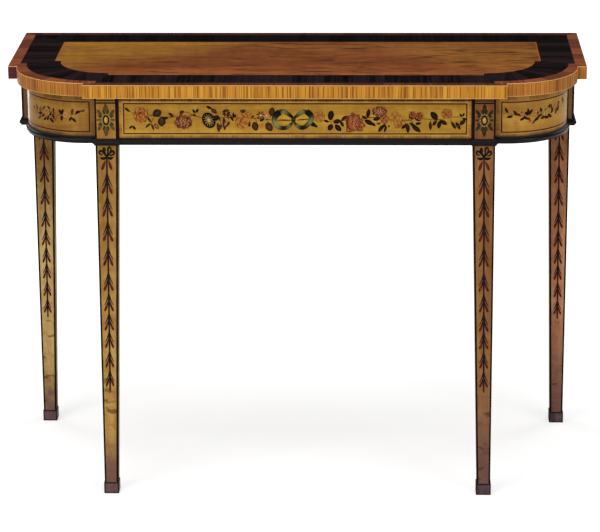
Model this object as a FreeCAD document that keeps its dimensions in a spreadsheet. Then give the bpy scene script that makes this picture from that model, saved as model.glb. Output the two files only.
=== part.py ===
# A painted satinwood pier table with a breakfront half-round plan, built as a cabinetmaker builds it:
# a veneered and crossbanded top on a frame of rails tenoned into four square tapered legs.
# Millimetres, +Z up, the front towards -Y, the origin on the floor under the middle of the top.
import FreeCAD, Part
import math
import os
import re
import Sketcher

# Driving sizes: name, value, meaning
SIZES = (
    ("top_width", 1180, "top, side to side"),
    ("top_depth", 485, "top, back to front"),
    ("table_height", 876, "floor to the top's surface"),
    ("top_thick", 27, "whole thickness of the top, veneer included"),
    ("ear_step", 19, "step in from the side to the start of the round corner"),
    ("corner_radius", 149, "round corner of the top"),
    ("front_step", 19, "step forward from the round corner to the front"),
    ("veneer", 1.2, "saw-cut veneer"),
    ("edge_band", 2, "cross-grained band on the edge of the top"),
    ("outer_band", 24, "outer crossband on the top"),
    ("outer_ear_step", 14, "step at the ear, inside the outer crossband"),
    ("outer_front_step", 15, "step at the front, inside the outer crossband"),
    ("outer_front_inset", 26, "that front step in from the top's own, side to side"),
    ("dark_band", 67, "wide dark crossband"),
    ("panel_ear_step", 13, "step at the ear of the centre panel"),
    ("panel_front_step", 16, "step at the front of the centre panel"),
    ("panel_front_inset", 18, "that front step in from the dark crossband's, side to side"),
    ("overhang", 20, "top beyond the frieze at the front, the curves and the ears"),
    ("ear_return", 16, "front-facing return of the frieze at the ear"),
    ("back_leg_proud", 9.5, "back leg proud of the side frieze"),
    ("back_overhang", 3, "top beyond the back legs at the wall"),
    ("leg_inset", 22, "corner of the straight front in to the outer face of a front leg"),
    ("leg_top", 45, "square of a leg at the frieze"),
    ("leg_toe", 28, "square of a leg where it meets its foot"),
    ("frieze_height", 101, "underside of the top to the bottom of the rails"),
    ("stile_proud", 5, "front leg proud of the front frieze"),
    ("tablet_margin", 3.5, "leg left plain beside the painted tablet"),
    ("rail_thick", 22, "front, back and curved rails"),
    ("back_rail_inset", 2, "back rail in from the back of the legs"),
    ("tenon_thick", 8, "tenon, across its cheeks"),
    ("tenon_height", 60, "tenon, up the rail"),
    ("front_tenon", 25, "tenons of the front rail"),
    ("back_tenon", 20, "tenons of the back rail"),
    ("tenon_land", 4, "wood left in a back leg between its two tenons"),
    ("stub_tenon", 12, "tenons of the curved rails"),
    ("joint_clearance", 0.2, "mortise round its tenon, socket round its spigot"),
    ("brace_thick", 22, "cross brace, side to side"),
    ("brace_height", 70, "cross brace, up and down"),
    ("brace_tenon", 10, "cross brace's stub tenons"),
    ("brace_tenon_height", 40, "cross brace's stub tenons, up and down"),
    ("foot_width", 31, "square block foot"),
    ("foot_height", 25, "floor to the shoulder of the leg"),
    ("foot_chamfer", 1.2, "worn arris round the foot"),
    ("spigot_width", 14, "spigot under the leg"),
    ("spigot_length", 16, "spigot into the foot"),
    ("bead_height", 14, "ebonised moulding under the frieze"),
    ("bead_root", 1, "moulding, out from the frieze to the root of its nose"),
    ("bead_nose", 4.5, "radius of the half-round nose"),
    ("bead_lip", 2.5, "flat lip above and below the nose, out from the frieze"),
    ("block_side", 26, "glue block, along rail and top"),
    ("block_length", 62, "glue block, end to end"),
    ("block_spacing", 210, "middle of the table to a glue block"),
    ("overrun", 4, "cutting shapes past what they cut"),
)

doc = FreeCAD.newDocument("PierTable")
sheet = doc.addObject("Spreadsheet::Sheet", "Sizes")
for row, (alias, number, meaning) in enumerate(SIZES, start=1):
    sheet.set(f"A{row}", meaning)
    sheet.set(f"B{row}", str(number))
    sheet.setAlias(f"B{row}", alias)
doc.recompute()

pieces = []
SIDES = (("left", "-1"), ("right", "1"))

# Places shared by several pieces, written in the driving sizes
BACK_EDGE = "top_depth / 2"
UNDERSIDE = "(table_height - top_thick)"
FRIEZE_BASE = "(table_height - top_thick - frieze_height)"
FRIEZE_MIDDLE = "(table_height - top_thick - frieze_height / 2)"
CURVE_X = "(top_width / 2 - ear_step - corner_radius)"
CURVE_Y = "(front_step + corner_radius - top_depth / 2)"
CURVE_RADIUS = "(corner_radius - overhang)"
CURVE_FRONT = f"({CURVE_Y} - {CURVE_RADIUS})"
CURVE_SIDE = f"({CURVE_X} + {CURVE_RADIUS})"
EAR_FACE = f"({CURVE_Y} + overhang)"
SIDE_FACE = f"({CURVE_SIDE} + ear_return)"
LEG_FRONT = "(overhang - top_depth / 2)"
LEG_OUT = f"({CURVE_X} - leg_inset)"
LEG_IN = f"({LEG_OUT} - leg_top)"
FRIEZE_FACE = f"({LEG_FRONT} + stile_proud)"
BACK_LEG_OUT = f"({SIDE_FACE} + back_leg_proud)"
BACK_LEG_IN = f"({BACK_LEG_OUT} - leg_top)"
BACK_LEG_BACK = "(top_depth / 2 - back_overhang)"
BACK_LEG_FRONT = f"({BACK_LEG_BACK} - leg_top)"
BACK_RAIL_BACK = f"({BACK_LEG_BACK} - back_rail_inset)"
BACK_RAIL_FRONT = f"({BACK_RAIL_BACK} - rail_thick)"
FRONT_RAIL_FRONT = f"({FRIEZE_FACE} + veneer)"
FRONT_RAIL_BACK = f"({FRONT_RAIL_FRONT} + rail_thick)"
CURVE_RAIL_OUT = f"({CURVE_RADIUS} - veneer)"
CURVE_RAIL_IN = f"({CURVE_RADIUS} - veneer - rail_thick)"
SIDE_RAIL_OUT = f"({SIDE_FACE} - veneer)"
SIDE_RAIL_IN = f"({CURVE_X} + {CURVE_RAIL_IN})"
SIDE_RAIL_FRONT = f"({EAR_FACE} + veneer)"
VENEER_BASE = "(table_height - veneer)"


def bind(text):
    """The expression with each size read from the sheet."""
    return re.sub(r"[a-z_]+", lambda word: "Sizes." + word.group(), text)


def value(text):
    """The number that an expression in the driving sizes gives now."""
    return float(sheet.evalExpression(text))


def keep(piece, label):
    """Names a finished sub-part and puts it on the list to be written."""
    piece.Label = label
    pieces.append(piece)
    return piece


def origin_plane(body, role):
    return next(feature for feature in body.Origin.OriginFeatures if feature.Role == role)


def add_curve(sketch, start, end, centre):
    """Adds one side of an outline; returns its number and the point numbers of its start and end."""
    if centre is None:
        return sketch.addGeometry(Part.LineSegment(start, end), False), 1, 2
    from_centre, to_centre = start - centre, end - centre
    circle = Part.Circle(centre, FreeCAD.Vector(0, 0, 1), from_centre.Length)
    first = math.atan2(from_centre.y, from_centre.x)
    last = math.atan2(to_centre.y, to_centre.x)
    if from_centre.cross(to_centre).z > 0:
        return sketch.addGeometry(Part.ArcOfCircle(circle, first, last), False), 1, 2
    return sketch.addGeometry(Part.ArcOfCircle(circle, last, first), False), 2, 1


def draw(sketch, corners, closed=True):
    """Draws an outline. A corner is (x, y), or (x, y, cx, cy) where an arc round (cx, cy) leaves it."""
    places = [FreeCAD.Vector(value(corner[0]), value(corner[1]), 0) for corner in corners]
    fixed = []
    curves = []
    turns = list(zip(corners, places, places[1:] + places[:1]))
    for corner, start, end in turns if closed else turns[:-1]:
        centre = FreeCAD.Vector(value(corner[2]), value(corner[3]), 0) if len(corner) == 4 else None
        curves.append(add_curve(sketch, start, end, centre) + (centre,))

    def fix(kind, curve, point, text):
        number = sketch.addConstraint(Sketcher.Constraint(kind, -1, 1, curve, point, value(text)))
        fixed.append((number, text))

    for index, (curve, start, end, centre) in enumerate(curves):
        x, y = corners[index][:2]
        before = curves[index - 1] if index or closed else None
        if before:
            sketch.addConstraint(Sketcher.Constraint("Coincident", before[0], before[2], curve, start))
        after_arc = before is not None and before[3] is not None
        # An arc already sets how far its end is from its centre, so only the other place is given.
        offset = places[index] - before[3] if after_arc else FreeCAD.Vector()
        if not after_arc or abs(offset.x) < abs(offset.y):
            fix("DistanceX", curve, start, x)
        if not after_arc or abs(offset.x) >= abs(offset.y):
            fix("DistanceY", curve, start, y)
        if centre is not None:
            fix("DistanceX", curve, 3, corners[index][2])
            fix("DistanceY", curve, 3, corners[index][3])
    if not closed:
        fix("DistanceX", curves[-1][0], curves[-1][2], corners[-1][0])
        fix("DistanceY", curves[-1][0], curves[-1][2], corners[-1][1])
    for number, text in fixed:
        sketch.setExpression(f"Constraints[{number}]", bind(text))


def new_sketch(body, name, role, offset, corners, closed=True):
    """A sketch on a plane of its own body, moved along that plane's normal."""
    sketch = body.newObject("Sketcher::SketchObject", name)
    sketch.AttachmentSupport = [(origin_plane(body, role), "")]
    sketch.MapMode = "FlatFace"
    sketch.setExpression("AttachmentOffset.Base.z", bind(offset))
    draw(sketch, corners, closed)
    return sketch


def pad(body, sketch, length):
    feature = body.newObject("PartDesign::Pad", sketch.Name + "_pad")
    feature.Profile = sketch
    feature.setExpression("Length", bind(length))
    return feature


def plan_body(name, corners, base, height):
    """A piece of one thickness, drawn in plan."""
    body = doc.addObject("PartDesign::Body", name)
    pad(body, new_sketch(body, name + "_plan", "XY_Plane", base, corners), height)
    return body


def box(name, x, y, z):
    """A board between three pairs of places, each pair written low to high."""
    board = doc.addObject("Part::Box", name)
    for side, place, (low, high) in zip(("Length", "Width", "Height"), "xyz", (x, y, z)):
        board.setExpression(side, bind(f"({high}) - ({low})"))
        board.setExpression("Placement.Base." + place, bind(low))
    return board


def mirrored(sign, low, high):
    """A pair of places on one side of the table, low to high."""
    if sign == "1":
        return low, high
    return f"-({high})", f"-({low})"


def about(middle, width):
    return f"{middle} - ({width}) / 2", f"{middle} + ({width}) / 2"


def grown(pair):
    """A tenon's pair of places, grown to its mortise."""
    return f"{pair[0]} - joint_clearance", f"{pair[1]} + joint_clearance"


def fused(name, members):
    union = doc.addObject("Part::MultiFuse", name)
    union.Shapes = members
    return union


def carved(name, base, cutters):
    cut = doc.addObject("Part::Cut", name)
    cut.Base = base
    cut.Tool = cutters[0] if len(cutters) == 1 else fused(name + "_cutters", cutters)
    return cut


# The top: groundwork, centre panel, two rings of crossbanding and a banded edge

class Plan:
    """A breakfront outline: straight back and sides, stepped ears, quarter-round corners, stepped front."""

    def __init__(self, inset, back_inset, front_x, ear_step, front_step):
        self.side = f"(top_width / 2 - ({inset}))"
        self.back = f"({BACK_EDGE} - ({back_inset}))"
        self.front = f"(({inset}) - {BACK_EDGE})"
        self.front_x = f"({front_x})"
        self.ear_x = f"({self.side} - {ear_step})"
        self.curve_y = f"({self.front} + {front_step})"
        self.ear_y = f"({self.curve_y} + {self.ear_x} - {self.front_x})"

    def corner(self, sign):
        """From the ear, round the corner, to the front, on one side."""
        front_x = f"{sign} * {self.front_x}"
        return [
            (f"{sign} * {self.side}", self.ear_y),
            (f"{sign} * {self.ear_x}", self.ear_y, front_x, self.ear_y),
            (front_x, self.curve_y),
            (front_x, self.front),
        ]

    def corner_back(self, sign):
        """The same way from the front back to the ear."""
        front_x = f"{sign} * {self.front_x}"
        return [
            (front_x, self.front),
            (front_x, self.curve_y, front_x, self.ear_y),
            (f"{sign} * {self.ear_x}", self.ear_y),
            (f"{sign} * {self.side}", self.ear_y),
        ]

    def whole(self):
        back = [(self.side, self.back), (f"-{self.side}", self.back)]
        return back + self.corner("-1") + self.corner_back("1")


BOTH_BANDS = "outer_band + dark_band"
DARK_FRONT_X = f"({CURVE_X} - outer_front_inset)"
PANEL_FRONT_X = f"({DARK_FRONT_X} - panel_front_inset)"
EDGE = Plan("0", "0", CURVE_X, "ear_step", "front_step")
GROUND = Plan("edge_band", "0", f"{CURVE_X} - edge_band", "ear_step", "front_step")
DARK = Plan("outer_band", "outer_band", DARK_FRONT_X, "outer_ear_step", "outer_front_step")
PANEL = Plan(BOTH_BANDS, BOTH_BANDS, PANEL_FRONT_X, "panel_ear_step", "panel_front_step")


def ring_strip(outside, inside, sign):
    """The straight side of a mitred ring of banding."""
    return [
        (f"{sign} * {outside.side}", outside.back),
        (f"{sign} * {inside.side}", inside.back),
        (f"{sign} * {inside.side}", inside.ear_y),
        (f"{sign} * {outside.side}", outside.ear_y),
    ]


def ring_back(outside, inside):
    return [
        (outside.side, outside.back),
        (f"-{outside.side}", outside.back),
        (f"-{inside.side}", inside.back),
        (inside.side, inside.back),
    ]


def ring_front(outside, inside):
    return [
        (f"-{outside.front_x}", outside.front),
        (outside.front_x, outside.front),
        (inside.front_x, inside.front),
        (f"-{inside.front_x}", inside.front),
    ]


def banding_ring(name, outside, inside, base, height, with_back):
    """A ring of banding cut as its maker cuts it: straight strips and two shaped corners, mitred."""
    if with_back:
        keep(plan_body(f"{name}_back", ring_back(outside, inside), base, height), f"{name}_back")
    keep(plan_body(f"{name}_front", ring_front(outside, inside), base, height), f"{name}_front")
    for side, sign in SIDES:
        strip = ring_strip(outside, inside, sign)
        keep(plan_body(f"{name}_side_{side}", strip, base, height), f"{name}_side_{side}")
        corner = outside.corner(sign) + inside.corner_back(sign)
        keep(plan_body(f"{name}_corner_{side}", corner, base, height), f"{name}_corner_{side}")


def make_top():
    keep(plan_body("ground", GROUND.whole(), UNDERSIDE, "top_thick - veneer"), "top_board")
    keep(plan_body("panel", PANEL.whole(), VENEER_BASE, "veneer"), "top_centre_panel")
    banding_ring("top_dark_band", DARK, PANEL, VENEER_BASE, "veneer", True)
    banding_ring("top_outer_band", EDGE, DARK, VENEER_BASE, "veneer", True)
    banding_ring("top_edge", EDGE, GROUND, UNDERSIDE, "top_thick - veneer", False)


# The frame: legs and feet, rails, brace and glue blocks

def square(x, y):
    return [(x[0], y[0]), (x[1], y[0]), (x[1], y[1]), (x[0], y[1])]


def leg_blank(name, stile, toe, spigot):
    """A leg square at the frieze, tapered on its two inner faces down to the toe, with a spigot below."""
    body = doc.addObject("PartDesign::Body", name)
    toe_sketch = new_sketch(body, name + "_toe", "XY_Plane", "foot_height", square(*toe))
    stile_sketch = new_sketch(body, name + "_stile", "XY_Plane", FRIEZE_BASE, square(*stile))
    taper = body.newObject("PartDesign::AdditiveLoft", name + "_taper")
    taper.Profile = toe_sketch
    taper.Sections = [stile_sketch]
    taper.Ruled = True
    pad(body, stile_sketch, "frieze_height")
    spigot_base = "foot_height - spigot_length"
    pad(body, new_sketch(body, name + "_spigot", "XY_Plane", spigot_base, square(*spigot)), "spigot_length")
    return body


TENON_Z = about(FRIEZE_MIDDLE, "tenon_height")


def front_tenon(sign):
    """The front rail's tenon in the inner face of a front leg."""
    x = mirrored(sign, LEG_IN, f"{LEG_IN} + front_tenon")
    return x, about(f"({FRONT_RAIL_FRONT} + rail_thick / 2)", "tenon_thick"), TENON_Z


def curve_tenon(sign):
    """A curved rail's tenon in the outer face of a front leg."""
    x = mirrored(sign, f"{LEG_OUT} - stub_tenon", LEG_OUT)
    return x, about(f"({CURVE_Y} - {CURVE_RAIL_IN} - rail_thick / 2)", "tenon_thick"), TENON_Z


def ear_tenon(sign):
    """A curved rail's other tenon, in the front end of the side rail."""
    x = mirrored(sign, *about(f"({SIDE_RAIL_IN} + rail_thick / 2)", "tenon_thick"))
    return x, (SIDE_RAIL_FRONT, f"{SIDE_RAIL_FRONT} + stub_tenon"), TENON_Z


BACK_TENON_Y = about(f"({BACK_RAIL_FRONT} + rail_thick / 2)", "tenon_thick")


def side_tenon(sign):
    """A side rail's tenon in the front face of a back leg, stopped short of the back rail's tenon."""
    x = mirrored(sign, *about(f"(({SIDE_RAIL_IN} + {SIDE_RAIL_OUT}) / 2)", "tenon_thick"))
    return x, (BACK_LEG_FRONT, f"{BACK_TENON_Y[0]} - tenon_land"), TENON_Z


def back_tenon(sign):
    """The back rail's tenon in the inner face of a back leg."""
    return mirrored(sign, BACK_LEG_IN, f"{BACK_LEG_IN} + back_tenon"), BACK_TENON_Y, TENON_Z


BRACE_MIDDLE = f"({UNDERSIDE} - brace_height / 2)"
BRACE_TENON_X = about("0", "tenon_thick")
BRACE_TENON_Z = about(BRACE_MIDDLE, "brace_tenon_height")
BRACE_FRONT_TENON = (BRACE_TENON_X, (f"{FRONT_RAIL_BACK} - brace_tenon", FRONT_RAIL_BACK), BRACE_TENON_Z)
BRACE_BACK_TENON = (BRACE_TENON_X, (BACK_RAIL_FRONT, f"{BACK_RAIL_FRONT} + brace_tenon"), BRACE_TENON_Z)
FRIEZE_Z = (FRIEZE_BASE, UNDERSIDE)


def mortise(name, tenon):
    return box(name, *(grown(pair) for pair in tenon))


def tablet_place(sign):
    """The flush painted tablet on a front leg, between the moulding and the top."""
    x = mirrored(sign, f"{LEG_IN} + tablet_margin", f"{LEG_OUT} - tablet_margin")
    return x, (LEG_FRONT, f"{LEG_FRONT} + veneer"), (f"{FRIEZE_BASE} + bead_height", UNDERSIDE)


def make_leg(side, sign, end):
    """One leg, mortised for its rails, and the block foot under it."""
    name = f"{end}_leg_{side}"
    if end == "front":
        stile = mirrored(sign, LEG_IN, LEG_OUT), (LEG_FRONT, f"{LEG_FRONT} + leg_top")
        toe = mirrored(sign, f"{LEG_OUT} - leg_toe", LEG_OUT), (LEG_FRONT, f"{LEG_FRONT} + leg_toe")
        tenons = front_tenon(sign), curve_tenon(sign)
        middle = f"{sign} * ({LEG_OUT} - leg_toe / 2)", f"({LEG_FRONT} + leg_toe / 2)"
    else:
        stile = mirrored(sign, BACK_LEG_IN, BACK_LEG_OUT), (BACK_LEG_FRONT, BACK_LEG_BACK)
        toe_y = f"{BACK_LEG_BACK} - leg_toe", BACK_LEG_BACK
        toe = mirrored(sign, f"{BACK_LEG_OUT} - leg_toe", BACK_LEG_OUT), toe_y
        tenons = side_tenon(sign), back_tenon(sign)
        middle = f"{sign} * ({BACK_LEG_OUT} - leg_toe / 2)", f"({BACK_LEG_BACK} - leg_toe / 2)"
    spigot = [about(place, "spigot_width") for place in middle]
    blank = leg_blank(name + "_blank", stile, toe, spigot)
    cutters = [mortise(f"{name}_mortise_{number}", tenon) for number, tenon in enumerate(tenons)]
    if end == "front":
        cutters.append(box(name + "_tablet_recess", *tablet_place(sign)))
        keep(box(name + "_tablet", *tablet_place(sign)), f"leg_tablet_{side}")
    keep(carved(name, blank, cutters), name)
    make_foot(f"{end}_foot_{side}", middle, spigot)


def make_foot(name, middle, spigot):
    """A square block with its arrises eased, socketed for the leg's spigot."""
    body = doc.addObject("PartDesign::Body", name + "_block")
    outline = square(*(about(place, "foot_width") for place in middle))
    block = pad(body, new_sketch(body, name + "_plan", "XY_Plane", "0", outline), "foot_height")
    doc.recompute()
    eased = body.newObject("PartDesign::Chamfer", name + "_eased")
    level = [f"Face{number}" for number, face in enumerate(block.Shape.Faces, start=1)
             if abs(face.normalAt(0, 0).z) > abs(face.normalAt(0, 0).x) + abs(face.normalAt(0, 0).y)]
    eased.Base = (block, level)
    eased.setExpression("Size", bind("foot_chamfer"))
    height = "foot_height - spigot_length - joint_clearance", "foot_height + overrun"
    keep(carved(name, body, [box(name + "_socket", grown(spigot[0]), grown(spigot[1]), height)]), name)


def make_front_rail():
    board = box("front_board", (f"-{LEG_IN}", LEG_IN), (FRONT_RAIL_FRONT, FRONT_RAIL_BACK), FRIEZE_Z)
    tenons = [box(f"front_tenon_{side}", *front_tenon(sign)) for side, sign in SIDES]
    rail = fused("front_rail_blank", [board] + tenons)
    keep(carved("front_rail", rail, [mortise("front_brace_mortise", BRACE_FRONT_TENON)]), "front_rail")
    face = box("front_face", (f"-{LEG_IN}", LEG_IN), (FRIEZE_FACE, FRONT_RAIL_FRONT), FRIEZE_Z)
    keep(face, "front_frieze_veneer")


def make_back_rail():
    board = box("back_board", (f"-{BACK_LEG_IN}", BACK_LEG_IN), (BACK_RAIL_FRONT, BACK_RAIL_BACK), FRIEZE_Z)
    tenons = [box(f"back_tenon_{side}", *back_tenon(sign)) for side, sign in SIDES]
    rail = fused("back_rail_blank", [board] + tenons)
    keep(carved("back_rail", rail, [mortise("back_brace_mortise", BRACE_BACK_TENON)]), "back_rail")


def curved_strip(sign, outer, inner):
    """Plan of a strip that leaves the leg straight, goes round the corner and runs straight to the ear."""
    centre = f"{sign} * {CURVE_X}", CURVE_Y
    return [
        (f"{sign} * {LEG_OUT}", f"{CURVE_Y} - {outer}"),
        (centre[0], f"{CURVE_Y} - {outer}") + centre,
        (f"{sign} * ({CURVE_X} + {outer})", CURVE_Y),
        (f"{sign} * ({CURVE_X} + {outer})", SIDE_RAIL_FRONT),
        (f"{sign} * ({CURVE_X} + {inner})", SIDE_RAIL_FRONT),
        (f"{sign} * ({CURVE_X} + {inner})", CURVE_Y) + centre,
        (centre[0], f"{CURVE_Y} - {inner}"),
        (f"{sign} * {LEG_OUT}", f"{CURVE_Y} - {inner}"),
    ]


def make_curved_rail(side, sign):
    strip = curved_strip(sign, CURVE_RAIL_OUT, CURVE_RAIL_IN)
    rail = plan_body(f"curved_board_{side}", strip, FRIEZE_BASE, "frieze_height")
    tenons = [box(f"curve_tenon_{side}", *curve_tenon(sign)), box(f"ear_tenon_{side}", *ear_tenon(sign))]
    keep(fused(f"curved_rail_{side}", [rail] + tenons), f"curved_rail_{side}")
    face = curved_strip(sign, CURVE_RADIUS, CURVE_RAIL_OUT)
    skin = plan_body(f"curved_face_{side}", face, FRIEZE_BASE, "frieze_height")
    keep(skin, f"curved_frieze_veneer_{side}")


def make_side_rail(side, sign):
    x = mirrored(sign, SIDE_RAIL_IN, SIDE_RAIL_OUT)
    board = box(f"side_board_{side}", x, (SIDE_RAIL_FRONT, BACK_LEG_FRONT), FRIEZE_Z)
    rail = fused(f"side_rail_blank_{side}", [board, box(f"side_tenon_{side}", *side_tenon(sign))])
    ear_mortise = mortise(f"ear_mortise_{side}", ear_tenon(sign))
    keep(carved(f"side_rail_{side}", rail, [ear_mortise]), f"side_rail_{side}")
    x = mirrored(sign, SIDE_RAIL_OUT, SIDE_FACE)
    face = box(f"side_face_{side}", x, (SIDE_RAIL_FRONT, BACK_LEG_FRONT), FRIEZE_Z)
    keep(face, f"side_frieze_veneer_{side}")
    x = mirrored(sign, CURVE_SIDE, SIDE_FACE)
    keep(box(f"ear_face_{side}", x, (EAR_FACE, SIDE_RAIL_FRONT), FRIEZE_Z), f"ear_tablet_{side}")


def make_brace():
    z = (f"{UNDERSIDE} - brace_height", UNDERSIDE)
    board = box("brace_board", about("0", "brace_thick"), (FRONT_RAIL_BACK, BACK_RAIL_FRONT), z)
    tenons = [box("brace_front_tenon", *BRACE_FRONT_TENON), box("brace_back_tenon", *BRACE_BACK_TENON)]
    keep(fused("brace", [board] + tenons), "cross_brace")


def make_glue_block(name, middle, rail, towards):
    """A three-cornered block rubbed into the corner of a rail and the underside of the top."""
    body = doc.addObject("PartDesign::Body", name)
    corners = [
        (rail, UNDERSIDE),
        (f"{rail} + {towards} * block_side", UNDERSIDE),
        (rail, f"{UNDERSIDE} - block_side"),
    ]
    end = new_sketch(body, name + "_end", "YZ_Plane", f"{middle} - block_length / 2", corners)
    pad(body, end, "block_length")
    keep(body, name)


def make_frame():
    for side, sign in SIDES:
        make_leg(side, sign, "front")
        make_leg(side, sign, "back")
        make_curved_rail(side, sign)
        make_side_rail(side, sign)
        make_glue_block(f"front_glue_block_{side}", f"{sign} * block_spacing", FRONT_RAIL_BACK, "1")
        make_glue_block(f"back_glue_block_{side}", f"{sign} * block_spacing", BACK_RAIL_FRONT, "-1")
    make_front_rail()
    make_back_rail()
    make_brace()


# The ebonised moulding: one run round the foot of the frieze, cut into lengths at its inside mitres

NOSE = "(bead_root + bead_nose)"
REACH = f"({NOSE} + overrun)"


def bead_way(sign):
    """The foot of the frieze on one side, from the wall to the straight front."""
    return [
        (f"{sign} * {BACK_LEG_OUT}", BACK_LEG_BACK),
        (f"{sign} * {BACK_LEG_OUT}", BACK_LEG_FRONT),
        (f"{sign} * {SIDE_FACE}", BACK_LEG_FRONT),
        (f"{sign} * {SIDE_FACE}", EAR_FACE),
        (f"{sign} * {CURVE_SIDE}", EAR_FACE),
        (f"{sign} * {CURVE_SIDE}", CURVE_Y, f"{sign} * {CURVE_X}", CURVE_Y),
        (f"{sign} * {CURVE_X}", CURVE_FRONT),
        (f"{sign} * {LEG_OUT}", CURVE_FRONT),
        (f"{sign} * {LEG_OUT}", LEG_FRONT),
        (f"{sign} * {LEG_IN}", LEG_FRONT),
        (f"{sign} * {LEG_IN}", FRIEZE_FACE),
    ]


def bead_profile(sign):
    """A half-round nose between two lips, out from the outer face of a back leg."""
    def at(out, up):
        return f"{sign} * ({BACK_LEG_OUT} + {out})", f"{FRIEZE_BASE} + {up}"
    low = "(bead_height / 2 - bead_nose)"
    high = "(bead_height / 2 + bead_nose)"
    centre = at("bead_root", "bead_height / 2")
    return [
        at("0", "0"),
        at("bead_lip", "0"),
        at("bead_lip", low),
        at("bead_root", low) + centre,
        at(NOSE, "bead_height / 2") + centre,
        at("bead_root", high),
        at("bead_lip", high),
        at("bead_lip", "bead_height"),
        at("0", "bead_height"),
    ]


def bead_run(side, sign):
    """The moulding of one half, swept along its way past the middle of the front."""
    body = doc.addObject("PartDesign::Body", f"bead_run_{side}")
    way = bead_way(sign) + [("0", FRIEZE_FACE)]
    path = new_sketch(body, f"bead_path_{side}", "XY_Plane", FRIEZE_BASE, way, closed=False)
    profile = new_sketch(body, f"bead_profile_{side}", "XZ_Plane", f"-{BACK_LEG_BACK}", bead_profile(sign))
    sweep = body.newObject("PartDesign::AdditivePipe", f"bead_sweep_{side}")
    sweep.Profile = profile
    sweep.Spine = (path, [])
    sweep.Transition = "Right corner"
    return body


def bead_length(label, run, corners):
    """One length of the moulding: the run inside a plan that is bounded by mitre lines."""
    plan = plan_body(label + "_bounds", corners, FRIEZE_BASE, "bead_height")
    length = doc.addObject("Part::Common", label)
    length.Base = run
    length.Tool = plan
    return length


def make_beads():
    halves = []
    for side, sign in SIDES:
        run = bead_run(side, sign)
        out = f"{sign} * ({BACK_LEG_OUT} + {REACH})"
        collar = [
            (f"{sign} * {SIDE_FACE}", BACK_LEG_BACK),
            (f"{sign} * {SIDE_FACE}", BACK_LEG_FRONT),
            (f"{sign} * ({SIDE_FACE} + {REACH})", f"{BACK_LEG_FRONT} - {REACH}"),
            (out, f"{BACK_LEG_FRONT} - {REACH}"),
            (out, BACK_LEG_BACK),
        ]
        keep(bead_length(f"back_leg_bead_{side}", run, collar), f"back_leg_bead_{side}")
        straight = [
            (f"{sign} * {SIDE_FACE}", BACK_LEG_FRONT),
            (f"{sign} * ({SIDE_FACE} + {REACH})", f"{BACK_LEG_FRONT} - {REACH}"),
            (f"{sign} * ({SIDE_FACE} + {REACH})", f"{EAR_FACE} - {REACH}"),
            (f"{sign} * ({CURVE_SIDE} + {REACH})", f"{EAR_FACE} - {REACH}"),
            (f"{sign} * {CURVE_SIDE}", EAR_FACE),
            (f"{sign} * {CURVE_SIDE}", BACK_LEG_FRONT),
        ]
        keep(bead_length(f"side_bead_{side}", run, straight), f"side_bead_{side}")
        curve = [
            (f"{sign} * {CURVE_SIDE}", EAR_FACE),
            (f"{sign} * ({CURVE_SIDE} + {REACH})", f"{EAR_FACE} - {REACH}"),
            (f"{sign} * ({CURVE_SIDE} + {REACH})", f"{CURVE_FRONT} - {REACH}"),
            (f"{sign} * ({LEG_OUT} + {REACH})", f"{CURVE_FRONT} - {REACH}"),
            (f"{sign} * {LEG_OUT}", CURVE_FRONT),
            (f"{sign} * {LEG_OUT}", EAR_FACE),
        ]
        keep(bead_length(f"curved_bead_{side}", run, curve), f"curved_bead_{side}")
        leg = [
            (f"{sign} * {LEG_OUT}", CURVE_FRONT),
            (f"{sign} * ({LEG_OUT} + {REACH})", f"{CURVE_FRONT} - {REACH}"),
            (f"{sign} * ({LEG_OUT} + {REACH})", f"{LEG_FRONT} - {REACH}"),
            (f"{sign} * ({LEG_IN} - {REACH})", f"{LEG_FRONT} - {REACH}"),
            (f"{sign} * ({LEG_IN} - {REACH})", f"{FRIEZE_FACE} - {REACH}"),
            (f"{sign} * {LEG_IN}", FRIEZE_FACE),
        ]
        keep(bead_length(f"front_leg_bead_{side}", run, leg), f"front_leg_bead_{side}")
        front = [
            (f"{sign} * {LEG_IN}", FRIEZE_FACE),
            (f"{sign} * ({LEG_IN} - {REACH})", f"{FRIEZE_FACE} - {REACH}"),
            ("0", f"{FRIEZE_FACE} - {REACH}"),
            ("0", FRIEZE_FACE),
        ]
        halves.append(bead_length(f"front_bead_{side}", run, front))
    front_bead = fused("front_bead", halves)
    front_bead.Refine = True
    keep(front_bead, "front_bead")


make_top()
make_frame()
make_beads()
doc.recompute()

for item in doc.Objects:
    if "Invalid" in item.State or "Error" in item.State:
        raise RuntimeError(f"{item.Label} failed: {item.State}")
for piece in pieces:
    if piece.Shape.isNull() or not piece.Shape.isValid() or not piece.Shape.Solids:
        raise RuntimeError(f"{piece.Label} has no valid solid")

os.makedirs("parts", exist_ok=True)
for piece in pieces:
    piece.Shape.exportStep(f"parts/{piece.Label}.step")
print(len(pieces), "pieces")
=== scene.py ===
"""Looks of the painted satinwood demilune table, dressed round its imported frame.

Metres throughout, in the frame's own axes: X to the right, Y to the back, Z up from the floor.
"""

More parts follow.
